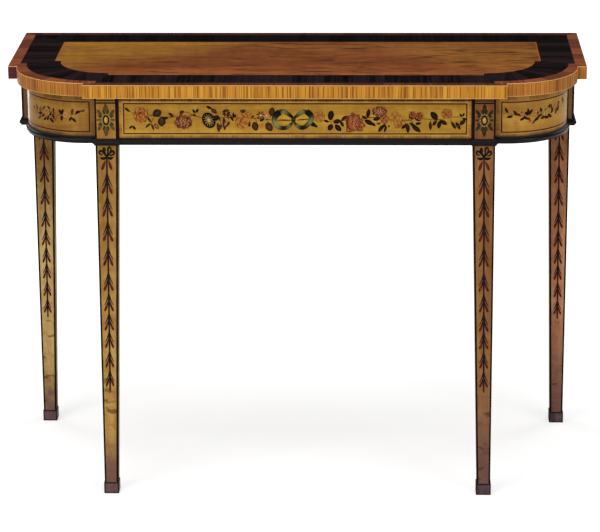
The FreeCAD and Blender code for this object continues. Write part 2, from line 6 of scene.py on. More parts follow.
import math
import random
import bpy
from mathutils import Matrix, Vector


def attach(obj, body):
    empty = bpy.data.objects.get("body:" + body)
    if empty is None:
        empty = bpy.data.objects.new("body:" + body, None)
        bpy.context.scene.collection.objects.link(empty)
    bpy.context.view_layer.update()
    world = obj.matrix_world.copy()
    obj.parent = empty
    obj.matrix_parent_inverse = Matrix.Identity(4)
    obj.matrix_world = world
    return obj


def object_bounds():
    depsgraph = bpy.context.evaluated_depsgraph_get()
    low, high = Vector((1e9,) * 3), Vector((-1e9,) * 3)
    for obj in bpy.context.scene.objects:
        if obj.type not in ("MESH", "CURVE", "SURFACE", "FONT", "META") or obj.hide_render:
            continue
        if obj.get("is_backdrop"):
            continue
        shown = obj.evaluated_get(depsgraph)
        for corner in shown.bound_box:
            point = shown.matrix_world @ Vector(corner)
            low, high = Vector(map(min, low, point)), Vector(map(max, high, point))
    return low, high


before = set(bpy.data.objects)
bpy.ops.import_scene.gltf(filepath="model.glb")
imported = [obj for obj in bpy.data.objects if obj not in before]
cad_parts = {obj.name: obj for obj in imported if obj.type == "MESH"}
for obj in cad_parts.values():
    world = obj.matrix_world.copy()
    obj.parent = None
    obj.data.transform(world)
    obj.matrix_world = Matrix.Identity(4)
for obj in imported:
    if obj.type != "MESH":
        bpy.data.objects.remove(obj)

from inspect import signature

import bpy
from mathutils import Matrix, Vector

CAD_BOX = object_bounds()
MM = 0.001
hand = random.Random(1790)


def tint(red, green, blue):
    """A colour, matched as levels from 0 to 255, in the linear values that nodes take."""
    def linear(level):
        part = level / 255
        return part / 12.92 if part <= 0.04045 else ((part + 0.055) / 1.055) ** 2.4

    return (linear(red), linear(green), linear(blue), 1.0)


def measured(names, *sizes):
    """Names with their sizes, given in millimetres."""
    return {name: size * MM for name, size in zip(names, sizes)}


# The top: its outline, and those of the dark crossband and the centre panel inside it.
OUTLINE_SIZES = ("side", "back", "front", "front_end", "ear", "radius")
EDGE_OUTLINE = measured(OUTLINE_SIZES, 590, 242.5, -242.5, 422, -74.5, 149)
DARK_OUTLINE = measured(OUTLINE_SIZES, 566, 218.5, -218.5, 396, -47.5, 156)
PANEL_OUTLINE = measured(OUTLINE_SIZES, 499, 151.5, -151.5, 378, -27.5, 108)
TOP_UNDERSIDE = 849 * MM
EDGE_TOP = 874.8 * MM
EAR_X = 571 * MM
EAR_Y = EDGE_OUTLINE["ear"]
STRING = 1.0 * MM

# The frieze, and its inlaid line frames as the middle and half the length of each.
FRIEZE_FACE = -217.5 * MM
FRIEZE_MIDDLE = 803 * MM
# Start of the dark band at the front frieze's ends: a dark end line and painted shadow from the proud leg
# heads.
FRIEZE_END = 351.8 * MM
CURVE_X = 422 * MM
CURVE_Y = -74.5 * MM
CURVE_RADIUS = 129 * MM
LINE_FRAMES = {"front": (0.0, 342.5 * MM), "curved": (100.8 * MM, 110.3 * MM),
               "side": (70.6 * MM, 111.4 * MM)}
FRAME_MIDDLE = 801.85 * MM
FRAME_HALF_HEIGHT = 30.85 * MM
INLAY_LINE = 1.3 * MM
INLAY_PALE = 3.0 * MM
INLAY_BLUR = 0.2 * MM
LINE_BLUR = 0.3 * MM
TABLET_LINE = 835 * MM
# Heights of the painted shadow line that the top's overhang casts along the front.
UNDER_TOP = (838.6 * MM, 841.4 * MM)
MOULDING_TOP = 762 * MM
SOOT_HEIGHT = 6 * MM
EAR_FACE = (551 * MM, 567 * MM)
EAR_LINE = 4.0 * MM

# The legs: places of their faces at the frieze and at the toe.
LEG_SIZES = ("outer", "inner_top", "inner_toe", "fixed", "tapered_top", "tapered_toe")
FRONT_LEG = measured(LEG_SIZES, 400, 355, 372, -222.5, -177.5, -194.5)
BACK_LEG = measured(LEG_SIZES, 576.5, 531.5, 548.5, 239.5, 194.5, 211.5)
LEG_TOP = 748 * MM
LEG_TOE = 25 * MM
LEG_LINE = 4.0 * MM
SIDE_LINE = 0.55
FOOT_WIDTH = 31 * MM
FOOT_LINE = 3.4 * MM


def put(socket, value):
    """Links a flow to a socket, or sets the socket to a value; colours may be levels from 0 to 255."""
    if isinstance(value, Flow):
        value.tree.links.new(value.socket, socket)
    elif socket.type == "RGBA" and len(value) == 3:
        socket.default_value = tint(*value)
    else:
        socket.default_value = value


def add(tree, kind, values, out=0, **settings):
    """A new node with its settings and values; gives one of its outputs."""
    node = tree.nodes.new(kind)
    for name, setting in settings.items():
        setattr(node, name, setting)
    for place, value in values.items():
        put(node.inputs[place], value)
    return Flow(tree, node.outputs[out])


def tree_of(values):
    return next(value.tree for value in values if isinstance(value, Flow))


def joined(*values):
    """A place made of its X, Y and Z."""
    return add(tree_of(values), "ShaderNodeCombineXYZ", dict(enumerate(values)))


def arithmetic(operation):
    """A sum of flows and numbers, as one node."""
    def apply(*values):
        return add(tree_of(values), "ShaderNodeMath", dict(enumerate(values)), operation=operation)

    return apply


least = arithmetic("MINIMUM")
most = arithmetic("MAXIMUM")
minus = arithmetic("SUBTRACT")
root = arithmetic("SQRT")
bearing = arithmetic("ARCTAN2")
sign = arithmetic("SIGN")


class Flow:
    """What flows out of a node, so that finishes can be written as sums."""

    __add__ = arithmetic("ADD")
    __sub__ = minus
    __mul__ = arithmetic("MULTIPLY")
    __truediv__ = arithmetic("DIVIDE")
    __gt__ = arithmetic("GREATER_THAN")
    __abs__ = arithmetic("ABSOLUTE")

    def __init__(self, tree, socket):
        self.tree = tree
        self.socket = socket

    def __rsub__(self, other):
        return minus(other, self)

    def outputs(self):
        """Every output of the same node."""
        return [Flow(self.tree, socket) for socket in self.socket.node.outputs]

    def split(self):
        return add(self.tree, "ShaderNodeSeparateXYZ", {0: self}).outputs()

    def shifted(self, by):
        return add(self.tree, "ShaderNodeVectorMath", {0: self, 1: by}, operation="ADD")

    def stretched(self, by):
        return add(self.tree, "ShaderNodeVectorMath", {0: self, 1: by}, operation="MULTIPLY")

    def noise(self, stretch, detail=2.0, roughness=0.5):
        """Cloudy noise, with so many clouds to the metre along X, Y and Z."""
        values = {"Vector": self.stretched(stretch), "Scale": 1.0, "Detail": detail, "Roughness": roughness}
        return add(self.tree, "ShaderNodeTexNoise", values)

    def rise(self, low, high, start=0.0, end=1.0):
        """Start below low, end above high, and smooth between them."""
        values = {0: self, 1: low, 2: high, 3: start, 4: end}
        return add(self.tree, "ShaderNodeMapRange", values, interpolation_type="SMOOTHSTEP")

    def fall(self, low, high, start=1.0):
        return self.rise(low, high, start, 0.0)

    def mix(self, first, second, blend="MIX"):
        """The first colour where this flow is 0, the second where it is 1."""
        values = {0: self, 6: first, 7: second}
        return add(self.tree, "ShaderNodeMix", values, 2, data_type="RGBA", blend_type=blend)


def distance(across, along):
    return root(across * across + along * along)


def shared(**gives):
    """Makes a node group of a function. Its inputs are floats unless noted, its outputs as given."""
    def build(fill):
        tree = bpy.data.node_groups.new(fill.__name__, "ShaderNodeTree")
        takes = {name: fill.__annotations__.get(name, "Float") for name in signature(fill).parameters}
        for in_out, sockets in (("INPUT", takes), ("OUTPUT", gives)):
            for name, kind in sockets.items():
                tree.interface.new_socket(name, in_out=in_out, socket_type="NodeSocket" + kind)
        given = tree.nodes.new("NodeGroupInput").outputs
        results = fill(*(Flow(tree, given[name]) for name in takes))
        ends = tree.nodes.new("NodeGroupOutput").inputs
        for name, result in zip(gives, results):
            put(ends[name], result)

        def use(*values, **named):
            named.update(zip(takes, values))
            return add(values[0].tree, "ShaderNodeGroup", named, node_tree=tree).outputs()

        return use

    return build


@shared(colour="Color", height="Float")
def wood_grain(vector: "Vector", pale: "Color", dark: "Color", line: "Color",
               bands, streaks, lines, pores, ripple):
    """Figured wood with its grain along X: slow bands, short streaks, fine lines, pores and a ripple."""
    sway = (vector.noise((6, 10, 10)) - 0.5) * 0.05
    swayed = vector.shifted(joined(0.0, sway, sway))
    tone = swayed.noise((1.7, 26, 26), 4.0, 0.6) - 0.5
    curl = vector.noise((75, 9, 9), 1.0) - 0.5
    streak = swayed.noise((15, 78, 78), 4.0, 0.6)
    fine = swayed.noise((5, 340, 340), 3.0, 0.65)
    pore = vector.noise((60, 2100, 2100), 1.0)
    shade = curl * ripple + (tone * bands + 0.5)
    ground = shade.rise(0.2, 0.8).mix(pale, dark)
    line_mask = most(fine.rise(0.46, 0.74) * lines, streak.rise(0.5, 0.6) * streaks)
    pore_mask = pore.rise(0.58, 0.7) * pores
    return pore_mask.mix(line_mask.mix(ground, line), line), fine * -0.3 - pore_mask


@shared(colour="Color", height="Float")
def crossband_strips(vector: "Vector", strip, pale: "Color", dark: "Color", line: "Color",
                     patches, lines, joints):
    """Short lengths of veneer laid side by side along Y, each with its grain along X."""
    kind = "ShaderNodeTexVoronoi"
    cells = {"W": vector.split()[1] / strip, "Scale": 1.0, "Randomness": 0.9}
    piece = add(vector.tree, kind, cells, "Color", voronoi_dimensions="1D")
    seam = add(vector.tree, kind, cells, "Distance", voronoi_dimensions="1D", feature="DISTANCE_TO_EDGE")
    moved = vector.shifted(piece.stretched((7, 7, 7)))
    fine = moved.noise((4, 310, 310), 2.0, 0.55)
    shade = (piece.split()[0] - 0.5) * patches + moved.noise((3, 120, 120), 3.0, 0.7)
    ground = shade.rise(0.34, 0.66).mix(pale, dark)
    mask = most(fine.rise(0.52, 0.585) * lines, seam.fall(0.0, 0.045) * joints)
    return mask.mix(ground, line), mask * -1.0


@shared(out="Float", around="Float")
def curve_fan(vector: "Vector", centre_x, centre_y, radius):
    """Places about a curve's centre: how far out they are, and how far round it."""
    x, y, _ = vector.split()
    aside = abs(x) - centre_x
    ahead = centre_y - y
    return distance(aside, ahead), bearing(aside, ahead) * radius


@shared(inside="Float")
def breakfront_outline(vector: "Vector", side, back, front, front_end, ear, radius):
    """How far a place on the top lies inside a breakfront outline with curved corners."""
    x, y, _ = vector.split()
    aside = abs(x)
    behind = least(side - aside, y - ear)
    ahead = least(front_end - aside, y - front)
    within = radius - distance(aside - front_end, y - ear)
    return [least(most(most(behind, ahead), within), back - y)]


@shared(outside="Float", end="Float")
def inlaid_frame(along, up, middle, half):
    """How far a place lies outside an inlaid rectangle, and whether it is past one of its ends."""
    past_end = abs(along - middle) - half
    past_side = abs(up - FRAME_MIDDLE) - FRAME_HALF_HEIGHT
    return most(past_end, past_side), past_end > past_side


@shared(distance="Float")
def leg_arris(vector: "Vector", outer, inner_top, inner_toe, fixed, tapered_top, tapered_toe):
    """How far a place on a tapered leg lies from the nearest of its long edges."""
    x, y, z = vector.split()
    down = add(vector.tree, "ShaderNodeMapRange", {0: z, 1: LEG_TOP, 2: LEG_TOE, 3: 0.0, 4: 1.0})
    inner = (inner_toe - inner_top) * down + inner_top
    tapered = (tapered_toe - tapered_top) * down + tapered_top
    across = least(abs(abs(x) - outer), abs(abs(x) - inner))
    deep = least(abs(y - fixed), abs(y - tapered))
    return [most(across, deep * SIDE_LINE)]


@shared(roughness="Float", grime="Float", height="Float")
def old_polish(vector: "Vector", roughness):
    """Old polish: a cloudy sheen, a little grime and hairline marks."""
    cloud = vector.noise((13, 13, 13), 4.0, 0.6) - 0.5
    grime = vector.noise((6, 6, 6), 5.0, 0.65).rise(0.48, 0.75)
    hairs = vector.noise((60, 60, 900))
    return cloud * 0.25 + roughness, grime, hairs * 0.25 + cloud


# Grime tint of the old polish; the leg finish also uses it for painted shade at the leg heads.
GRIME = (150, 120, 90)
EBONY = (17, 15, 14)
BOXWOOD = (212, 167, 94)


def new_material(name):
    material = bpy.data.materials.new(name)
    material.use_nodes = True
    return material, material.node_tree


def new_finish(name, specular):
    """A new finish: the function that ends it, the place on the piece, and that place's X, Y and Z."""
    material, tree = new_material(name)
    shader = tree.nodes["Principled BSDF"].inputs
    put(shader["Specular IOR Level"], specular)
    place = add(tree, "ShaderNodeTexCoord", {}, "Object")

    def settle(colour, height, roughness, depth=0.05 * MM, grime=0.3):
        """Joins a colour and a relief to the shader, under old polish."""
        rough, dirt, marks = old_polish(place, roughness)
        relief = {"Strength": 0.6, "Distance": depth, "Height": marks * 0.3 + height}
        put(shader["Base Color"], (dirt * grime).mix(colour, GRIME, "MULTIPLY"))
        put(shader["Roughness"], rough)
        put(shader["Normal"], add(tree, "ShaderNodeBump", relief))
        return material

    return settle, place, *place.split()


def dress(material, *names):
    for name in names:
        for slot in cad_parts[name].material_slots:
            slot.material = material


def both(name):
    return name + "_left", name + "_right"


def laid(place, lay):
    """Places with the grain along X and the run of the band along Y."""
    x, y, z = place.split()
    if "corner" in lay:
        out, around = curve_fan(place, EDGE_OUTLINE["front_end"], EAR_Y, EDGE_OUTLINE["radius"])
        return joined(z, around + out, out) if "edge" in lay else joined(out, around, z)
    order = {"side": (x, y, z), "front": (y, x, z), "back": (y, x, z),
             "edge_front": (z, x, y), "edge_side": (z, y, x)}
    return joined(*order[lay])


def centre_panel_finish():
    """Satinwood faded to olive gold at its left end, red-brown in the middle and golden to the right."""
    settle, place, x, y, _ = new_finish("centre_panel_satinwood", specular=0.025)
    drift = place.noise((2.4, 6, 1), 3.0) - 0.5
    redder = (drift * 0.5 + (y * -1.5 + x)).rise(-0.46, -0.2)
    patches = place.noise((5, 14, 1), 3.0).rise(0.5, 0.66, 0.0, 0.6) * y.rise(-0.02, 0.08)
    golden = most((drift * 0.3 + (y * 0.9 + x)).rise(0.2, 0.36), patches)
    front = y.fall(-0.14, -0.05, 0.8)
    pale = golden.mix(redder.mix((151, 106, 37), (125, 71, 34)), (142, 92, 38))
    dark = golden.mix(redder.mix((125, 82, 31), (99, 52, 27)), (114, 70, 30))
    wood, height = wood_grain(place, front.mix(pale, (144, 82, 40)), front.mix(dark, (120, 65, 34)),
                              (54, 25, 14), bands=1.1, streaks=0.24, lines=0.25, pores=0.3, ripple=0.3)
    waver = (place.noise((9, 3, 1)) - 0.5) * 0.06
    wisps = place.shifted(joined(0.0, waver, 0.0)).noise((13, 128, 1)).rise(0.54, 0.6, 0.0, 0.85)
    wisps = wisps * place.noise((7, 12, 1)).rise(0.36, 0.56, 0.25, 1.0)
    wisps = wisps * (redder * 0.7 + 0.3)
    inside, = breakfront_outline(place, **PANEL_OUTLINE)
    colour = inside.fall(2.2 * MM, 2.6 * MM).mix(wisps.mix(wood, (62, 30, 15)), (138, 74, 34))
    return settle(colour, height, roughness=0.36)


def dark_band_finish(lay):
    """Near-black crossbanding with purple-brown streaks."""
    settle, place, *_ = new_finish("dark_crossband_" + lay, specular=0.01)
    pale, line = (27, 18, 19), (52, 35, 35)
    if lay == "back":
        pale, line = (12, 9, 10), (26, 20, 21)
    bands = crossband_strips(laid(place, lay), 30 * MM, pale, (4, 3, 3), line,
                             patches=0.5, lines=0.3, joints=0.0)
    return settle(*bands, roughness=0.4, grime=0.1)


def outer_band_finish(lay):
    """Red-brown crossbanding, with a black line inside it and a boxwood string at the arris."""
    settle, place, _, y, _ = new_finish("outer_crossband_" + lay, specular=0.025)
    tones = {"back": ((66, 32, 23), (46, 22, 18)), "front": ((88, 49, 36), (66, 36, 29))}
    pale, dark = tones.get(lay, ((124, 68, 42), (92, 48, 33)))
    wood, height = crossband_strips(laid(place, lay), 46 * MM, pale, dark, (58, 28, 20),
                                    patches=0.4, lines=0.5, joints=0.3)
    within, = breakfront_outline(place, **DARK_OUTLINE)
    rim, = breakfront_outline(place, **EDGE_OUTLINE)
    string = rim.fall(0.4 * STRING, 0.7 * STRING) * y.fall(EAR_Y + 2 * MM, EAR_Y + 3 * MM)
    colour = string.mix(within.rise(-1.6 * MM, -1.2 * MM).mix(wood, EBONY), BOXWOOD)
    return settle(colour, height, roughness=0.38, grime=0.15)


def edge_finish(lay, dark_ear=False):
    """Bright cross-grained edge banding, under a brown line and over a boxwood string."""
    name = "edge_crossband_" + lay + ("_dark_ear" if dark_ear else "")
    settle, place, x, y, z = new_finish(name, specular=0.05)
    pale, dark = (184, 123, 52), (159, 99, 45)
    if lay == "edge_front":
        pale, dark = (195, 140, 51), (175, 116, 40)
    colour, height = crossband_strips(laid(place, lay), 11 * MM, pale, dark, (96, 48, 18),
                                      patches=0.15, lines=0.68, joints=0.5)
    if dark_ear:
        ear = x.fall(-EAR_X - 0.5 * MM, -EAR_X) * y.fall(EAR_Y + 0.5 * MM, EAR_Y + 1 * MM)
        colour = (ear * 0.95).mix(colour, (74, 30, 41))
    high = z.rise(EDGE_TOP - STRING, EDGE_TOP - STRING + LINE_BLUR)
    low = z.fall(TOP_UNDERSIDE + STRING - LINE_BLUR, TOP_UNDERSIDE + STRING)
    colour = low.mix((high * 0.6).mix(colour, (134, 80, 32)), BOXWOOD)
    return settle(colour, height, roughness=0.5, grime=0.2)


def under_top(z, colour):
    """A painted shadow: a dark line along the front, close under the top's overhang, where the overhang
    casts its shadow.
    """
    low, high = UNDER_TOP
    line = z.rise(low - LINE_BLUR, low + LINE_BLUR) * z.fall(high - LINE_BLUR, high + LINE_BLUR)
    return line.mix(colour, (58, 32, 16))


def frieze_finish(run):
    """Satinwood panel in a dark and a pale line, with a narrow crossbanded border, darker towards its foot;
    painted shadow under the top and beside the legs on the front, painted shade on the left curve.
    """
    settle, place, x, y, z = new_finish("frieze_satinwood_" + run, specular=0.05)
    curved = run == "curved"
    if curved:
        along = curve_fan(place, CURVE_X, CURVE_Y, CURVE_RADIUS)[1]
        pale, dark, pale_line = (184, 139, 60), (154, 108, 47), (164, 120, 57)
        border_pale, border_dark = (160, 117, 55), (134, 94, 43)
    else:
        along = x if run == "front" else y
        pale, dark, pale_line = (188, 149, 56), (160, 119, 43), (184, 140, 66)
        border_pale, border_dark = (176, 130, 59), (147, 103, 45)
    flat = joined(along, z, 0.0 if run == "front" else sign(x))
    wood, height = wood_grain(flat, pale, dark, (112, 70, 28),
                              bands=2.0, streaks=0.12, lines=0.35, pores=0.25, ripple=0.5)
    mottle = flat.noise((14, 24, 1), 4.0, 0.65).rise(0.5, 0.72, 0.0, 0.5)
    ground = mottle.mix(wood, (150, 92, 38))
    outside, end = inlaid_frame(along, z, *LINE_FRAMES[run])
    lay = {0: end, 4: joined(z, along, 0.0), 5: flat}
    across = add(place.tree, "ShaderNodeMix", lay, 1, data_type="VECTOR")
    border, _ = crossband_strips(across, 24 * MM, border_pale, border_dark, (106, 64, 30),
                                 patches=0.5, lines=0.42, joints=0.3)
    colour = (outside > INLAY_PALE).mix(pale_line, border)
    if run == "front":
        # Dark ends beside the legs: a dark end line, widened with painted shadow cast by the proud leg
        # heads.
        ends = abs(x).rise(FRIEZE_END - LINE_BLUR, FRIEZE_END)
        colour = ends.mix(under_top(z, colour), (40, 24, 18))
    colour = outside.rise(INLAY_LINE - INLAY_BLUR, INLAY_LINE + INLAY_BLUR).mix((52, 20, 10), colour)
    colour = outside.rise(-INLAY_LINE - INLAY_BLUR, -INLAY_LINE + INLAY_BLUR).mix(ground, colour)
    if curved:
        # Painted shade: the left curve is darkened to balance the light, which falls more strongly on it.
        colour = x.fall(-0.1, 0.1).mix(colour, (228, 226, 228), "MULTIPLY")
    # Darker towards the frieze's foot, just above the moulding.
    soot = z.fall(MOULDING_TOP, MOULDING_TOP + SOOT_HEIGHT, 0.7 if curved else 0.5)
    return settle(soot.mix(colour, (62, 44, 36)), height, roughness=0.33)


def tablet_finish(name, pale, dark, ear=False):
    """Small upright panels: on the leg heads under a black line and a painted shadow line from the top's
    overhang, on the ears with black edges.
    """
    settle, place, x, y, z = new_finish(name + "_satinwood", specular=0.05)
    wood, height = wood_grain(joined(z, x, y), pale, dark, (120, 70, 30),
                              bands=2.4, streaks=0.15, lines=0.4, pores=0.3, ripple=0.4)
    if ear:
        edge = least(abs(x) - EAR_FACE[0], EAR_FACE[1] - abs(x))
        colour = edge.rise(EAR_LINE, EAR_LINE + 0.5 * MM).mix(EBONY, wood)
    else:
        # Painted shadow of the top's overhang across the leg head.
        colour = under_top(z, abs(z - TABLET_LINE).rise(1.3 * MM, 1.7 * MM).mix(EBONY, wood))
    return settle(colour, height, roughness=0.33)


def leg_finish(name, sizes, pale, dark, brown_from, dulled):
    """Satinwood legs edged with black, smudged low down, browned towards the foot, and darkened at the head
    with painted shade under the frieze.
    """
    settle, place, x, y, z = new_finish(name + "_satinwood", specular=0.01)
    wood, height = wood_grain(joined(z, x, y), pale, dark, (104, 62, 28),
                              bands=2.2, streaks=0.15, lines=0.35, pores=0.3, ripple=0.5)
    mottle = place.noise((26, 26, 20), 4.0, 0.65).rise(0.5, 0.7, 0.0, 0.45)
    gilt = place.noise((30, 30, 15), 3.0, 0.6).rise(0.44, 0.3, 0.0, 0.9)
    ground = gilt.mix(mottle.mix(wood, (138, 84, 40)), (250, 240, 188), "MULTIPLY")
    # Painted shade: each leg darkens towards its head, where the frieze and top shade it.
    ground = z.rise(0.42, LEG_TOP - 0.1, 0.0, dulled).mix(ground, GRIME, "MULTIPLY")
    spots = place.noise((45, 45, 40), 3.0, 0.6) - 0.5
    low = (spots * 0.1 + z).fall(LEG_TOE + 0.01, brown_from)
    smears = place.noise((34, 34, 62)).rise(0.58, 0.7) * z.rise(0.2, 0.34, 0.75, 0.1)
    colour = smears.mix((low * 0.9).mix(ground, (106, 76, 70)), (84, 48, 26))
    edge, = leg_arris(place, **sizes)
    line = (place.noise((90, 90, 30)) * (1.2 * MM) + edge).fall(LEG_LINE, LEG_LINE + 0.5 * MM)
    return settle(line.mix(colour, EBONY), height, roughness=0.55, grime=0.45)


def ebonised_finish():
    """Black-stained moulding, rubbed brown in patches."""
    settle, place, *_ = new_finish("ebonised_moulding", specular=0.1)
    grain = place.noise((18, 18, 240), 3.0, 0.6)
    rubbed = place.noise((40, 40, 40), 4.0, 0.7).rise(0.6, 0.78) * 0.5
    return settle(rubbed.mix(EBONY, (64, 44, 34)), grain, roughness=0.32, depth=0.08 * MM, grime=0.0)


def foot_finish(name, leg, pale, dark):
    """Dark stained block feet, blackened along their edges and chipped pale in places."""
    settle, place, x, y, z = new_finish(name, specular=0.03)
    wood, height = wood_grain(joined(z, x, y), pale, dark, (40, 29, 28),
                              bands=3.0, streaks=0.2, lines=0.4, pores=0.4, ripple=0.2)
    chips = place.noise((130, 130, 130), 3.0, 0.6).rise(0.64, 0.72, 0.0, 0.6)
    across = FOOT_WIDTH / 2 - abs(abs(x) - (leg["outer"] + leg["inner_toe"]) / 2)
    deep = FOOT_WIDTH / 2 - abs(y - (leg["fixed"] + leg["tapered_toe"]) / 2)
    nearer = least(most(across, deep), least(z, LEG_TOE - z))
    edge = most(least(across, deep), nearer)
    worn = place.noise((160, 160, 160)) * (2 * MM) + edge
    black = worn.fall(FOOT_LINE, FOOT_LINE + 1 * MM, 0.85)
    colour = black.mix(chips.mix(wood, (146, 108, 84)), EBONY)
    return settle(colour, height, roughness=0.45, depth=0.1 * MM)


def groundwork_finish(name, order):
    """Plain unpolished wood of the frame and the underside, its grain along the first of the order."""
    settle, _, *xyz = new_finish(name, specular=0.15)
    wood = wood_grain(joined(*(xyz[i] for i in order)), (168, 124, 82), (132, 90, 58), (92, 58, 36),
                      bands=2.6, streaks=0.3, lines=0.5, pores=0.5, ripple=0.1)
    return settle(*wood, roughness=0.62, depth=0.12 * MM, grime=0.6)


# Each leg's face sizes, pale and dark wood, height at which it turns brown, and painted shade near its head
# under the frieze.
LEG_LOOKS = {
    "front_leg_left": (FRONT_LEG, (188, 151, 83), (160, 121, 63), 0.16, 0.34),
    "front_leg_right": (FRONT_LEG, (157, 114, 70), (128, 88, 54), 0.3, 0.3),
    "back_leg_left": (BACK_LEG, (202, 170, 110), (170, 138, 86), 0.13, 0.75),
    "back_leg_right": (BACK_LEG, (196, 138, 100), (160, 108, 76), 0.3, 0.3),
}


def dress_table():
    dress(centre_panel_finish(), "top_centre_panel")
    for part, finish in (("top_dark_band_", dark_band_finish), ("top_outer_band_", outer_band_finish)):
        for lay in ("front", "back"):
            dress(finish(lay), part + lay)
        for lay in ("side", "corner"):
            dress(finish(lay), *both(part + lay))
    dress(edge_finish("edge_front"), "top_edge_front")
    dress(edge_finish("edge_side"), *both("top_edge_side"))
    dress(edge_finish("edge_corner"), "top_edge_corner_right")
    dress(edge_finish("edge_corner", dark_ear=True), "top_edge_corner_left")
    dress(frieze_finish("front"), "front_frieze_veneer")
    for run in ("curved", "side"):
        dress(frieze_finish(run), *both(run + "_frieze_veneer"))
    left, right = both("leg_tablet")
    dress(tablet_finish(left, (180, 138, 62), (149, 107, 48)), left)
    dress(tablet_finish(right, (118, 77, 43), (93, 57, 32)), right)
    dress(tablet_finish("ear_tablet", (138, 104, 66), (108, 78, 50), ear=True), *both("ear_tablet"))
    for name, looks in LEG_LOOKS.items():
        dress(leg_finish(name, *looks), name)
    dress(ebonised_finish(), *(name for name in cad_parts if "bead" in name))
    # The front left foot is paler than the others.
    dress(foot_finish("rubbed_foot", FRONT_LEG, (142, 108, 94), (98, 76, 74)), "front_foot_left")
    dress(foot_finish("front_foot_wood", FRONT_LEG, (92, 74, 76), (62, 49, 54)), "front_foot_right")
    dress(foot_finish("back_foot_wood", BACK_LEG, (104, 84, 84), (70, 56, 60)), *both("back_foot"))
    dress(groundwork_finish("groundwork_across", (0, 1, 2)), "front_rail", "back_rail", "top_board",
          *both("curved_rail"), *both("front_glue_block"), *both("back_glue_block"))
    dress(groundwork_finish("groundwork_deep", (1, 0, 2)), "cross_brace", *both("side_rail"))


dress_table()


# Painted ornament: every mark is a thin film of colour with a rim, a body and a heart.
FILM = 0.1 * MM
COAT = 0.004 * MM
LEAF_COATS = 20
FLOWER_COATS = 130
MARK_SIDES = 14
RIM_WIDTH = 0.36
LINE_STEPS = 4
STEM_WIDTH = 1.3
VEINED_LENGTH = 12
TONE_RANGE = (0.9, 1.1)


def shades(rim, body, heart=None):
    return tint(*rim), tint(*body), tint(*(heart or body))


LEAF_DARK = shades((14, 6, 3), (27, 14, 8), (42, 25, 14))
LEAF_OLIVE = shades((20, 12, 10), (50, 37, 27), (74, 58, 36))
LEAF_BROWN = shades((22, 11, 9), (70, 38, 27), (94, 54, 36))
LEAF_TAN = shades((120, 74, 34), (160, 104, 50), (178, 120, 60))
VEIN = shades((48, 37, 21), (60, 47, 27))
STEM = shades((74, 38, 18), (84, 44, 21))
BLACK = shades((18, 17, 14), (26, 25, 19), (34, 33, 25))
GOLD = shades((96, 70, 30), (176, 138, 62), (200, 164, 84))
CREAM = shades((176, 140, 66), (206, 178, 108), (222, 198, 134))
YELLOW = shades((190, 134, 50), (214, 164, 72), (224, 180, 90))
RED = shades((112, 48, 30), (146, 66, 38), (166, 86, 48))
CRIMSON = shades((70, 28, 24), (104, 42, 34), (128, 60, 44))
PURPLE = shades((52, 34, 28), (92, 60, 46), (118, 82, 58))
ORANGE = shades((168, 98, 42), (196, 118, 52), (206, 136, 66))
PINK = shades((162, 104, 58), (180, 116, 72), (194, 134, 88))
RUST = shades((64, 32, 22), (136, 80, 48), (158, 100, 58))
HUSK = shades((50, 18, 20), (78, 29, 30), (94, 39, 36))
HUSK_STEM = shades((28, 18, 20), (38, 25, 27))
BOW_BLACK = shades((12, 13, 10), (20, 21, 16))
GLORY_RAY = shades((136, 108, 56), (196, 168, 100))
GLORY_BLACK = shades((7, 4, 3), (12, 7, 5), (16, 10, 7))
PATERA_GREEN = shades((28, 25, 13), (88, 84, 42), (124, 114, 60))
PATERA_DARK = shades((18, 15, 10), (50, 46, 28), (78, 70, 42))
PATERA_VEIN = shades((20, 18, 12), (30, 28, 18))
PATERA_RED = shades((172, 104, 50), (164, 84, 44))
PATERA_BOSS = shades((150, 108, 48), (186, 144, 68), (200, 162, 86))
PATERA_RING = shades((10, 9, 7), (14, 13, 10))
PATERA_BEAD = shades((78, 74, 38), (132, 122, 64), (156, 144, 82))
RIBBON_DARK = tint(14, 20, 15)
RIBBON_LIGHT = tint(140, 136, 78)
RIBBON_CONTRAST = 2.0
RIBBON_EDGES = (0.45, 0.8)

# Roses and frilled flowers: the petals, the folds between them and the lights on them.
TAWNY_ROSE = (shades((120, 62, 33), (148, 86, 41), (160, 98, 48)), shades((102, 45, 25), (96, 40, 22)),
              shades((174, 120, 54), (186, 136, 66)))
GOLD_ROSE = (shades((134, 80, 36), (156, 106, 45), (166, 118, 51)), shades((124, 66, 32), (116, 58, 28)),
             shades((176, 128, 57), (188, 146, 70)))
ORANGE_ROSE = (shades((122, 66, 29), (160, 102, 44), (178, 122, 53)), shades((126, 66, 31), (116, 58, 27)),
               shades((178, 122, 54), (190, 138, 64)))
RED_ROSE = (shades((100, 46, 28), (144, 78, 44), (160, 92, 52)), shades((82, 36, 22), (92, 42, 26)),
            shades((168, 102, 56), (188, 124, 72)))
CHERRY_ROSE = (shades((80, 33, 20), (122, 60, 35), (140, 76, 44)), shades((54, 20, 13), (62, 25, 16)),
               shades((156, 92, 52), (178, 116, 66)))
FRILLED = (shades((88, 44, 30), (126, 70, 44), (142, 84, 52)), shades((66, 30, 22), (98, 50, 33)),
           shades((164, 106, 66), (190, 138, 92)))


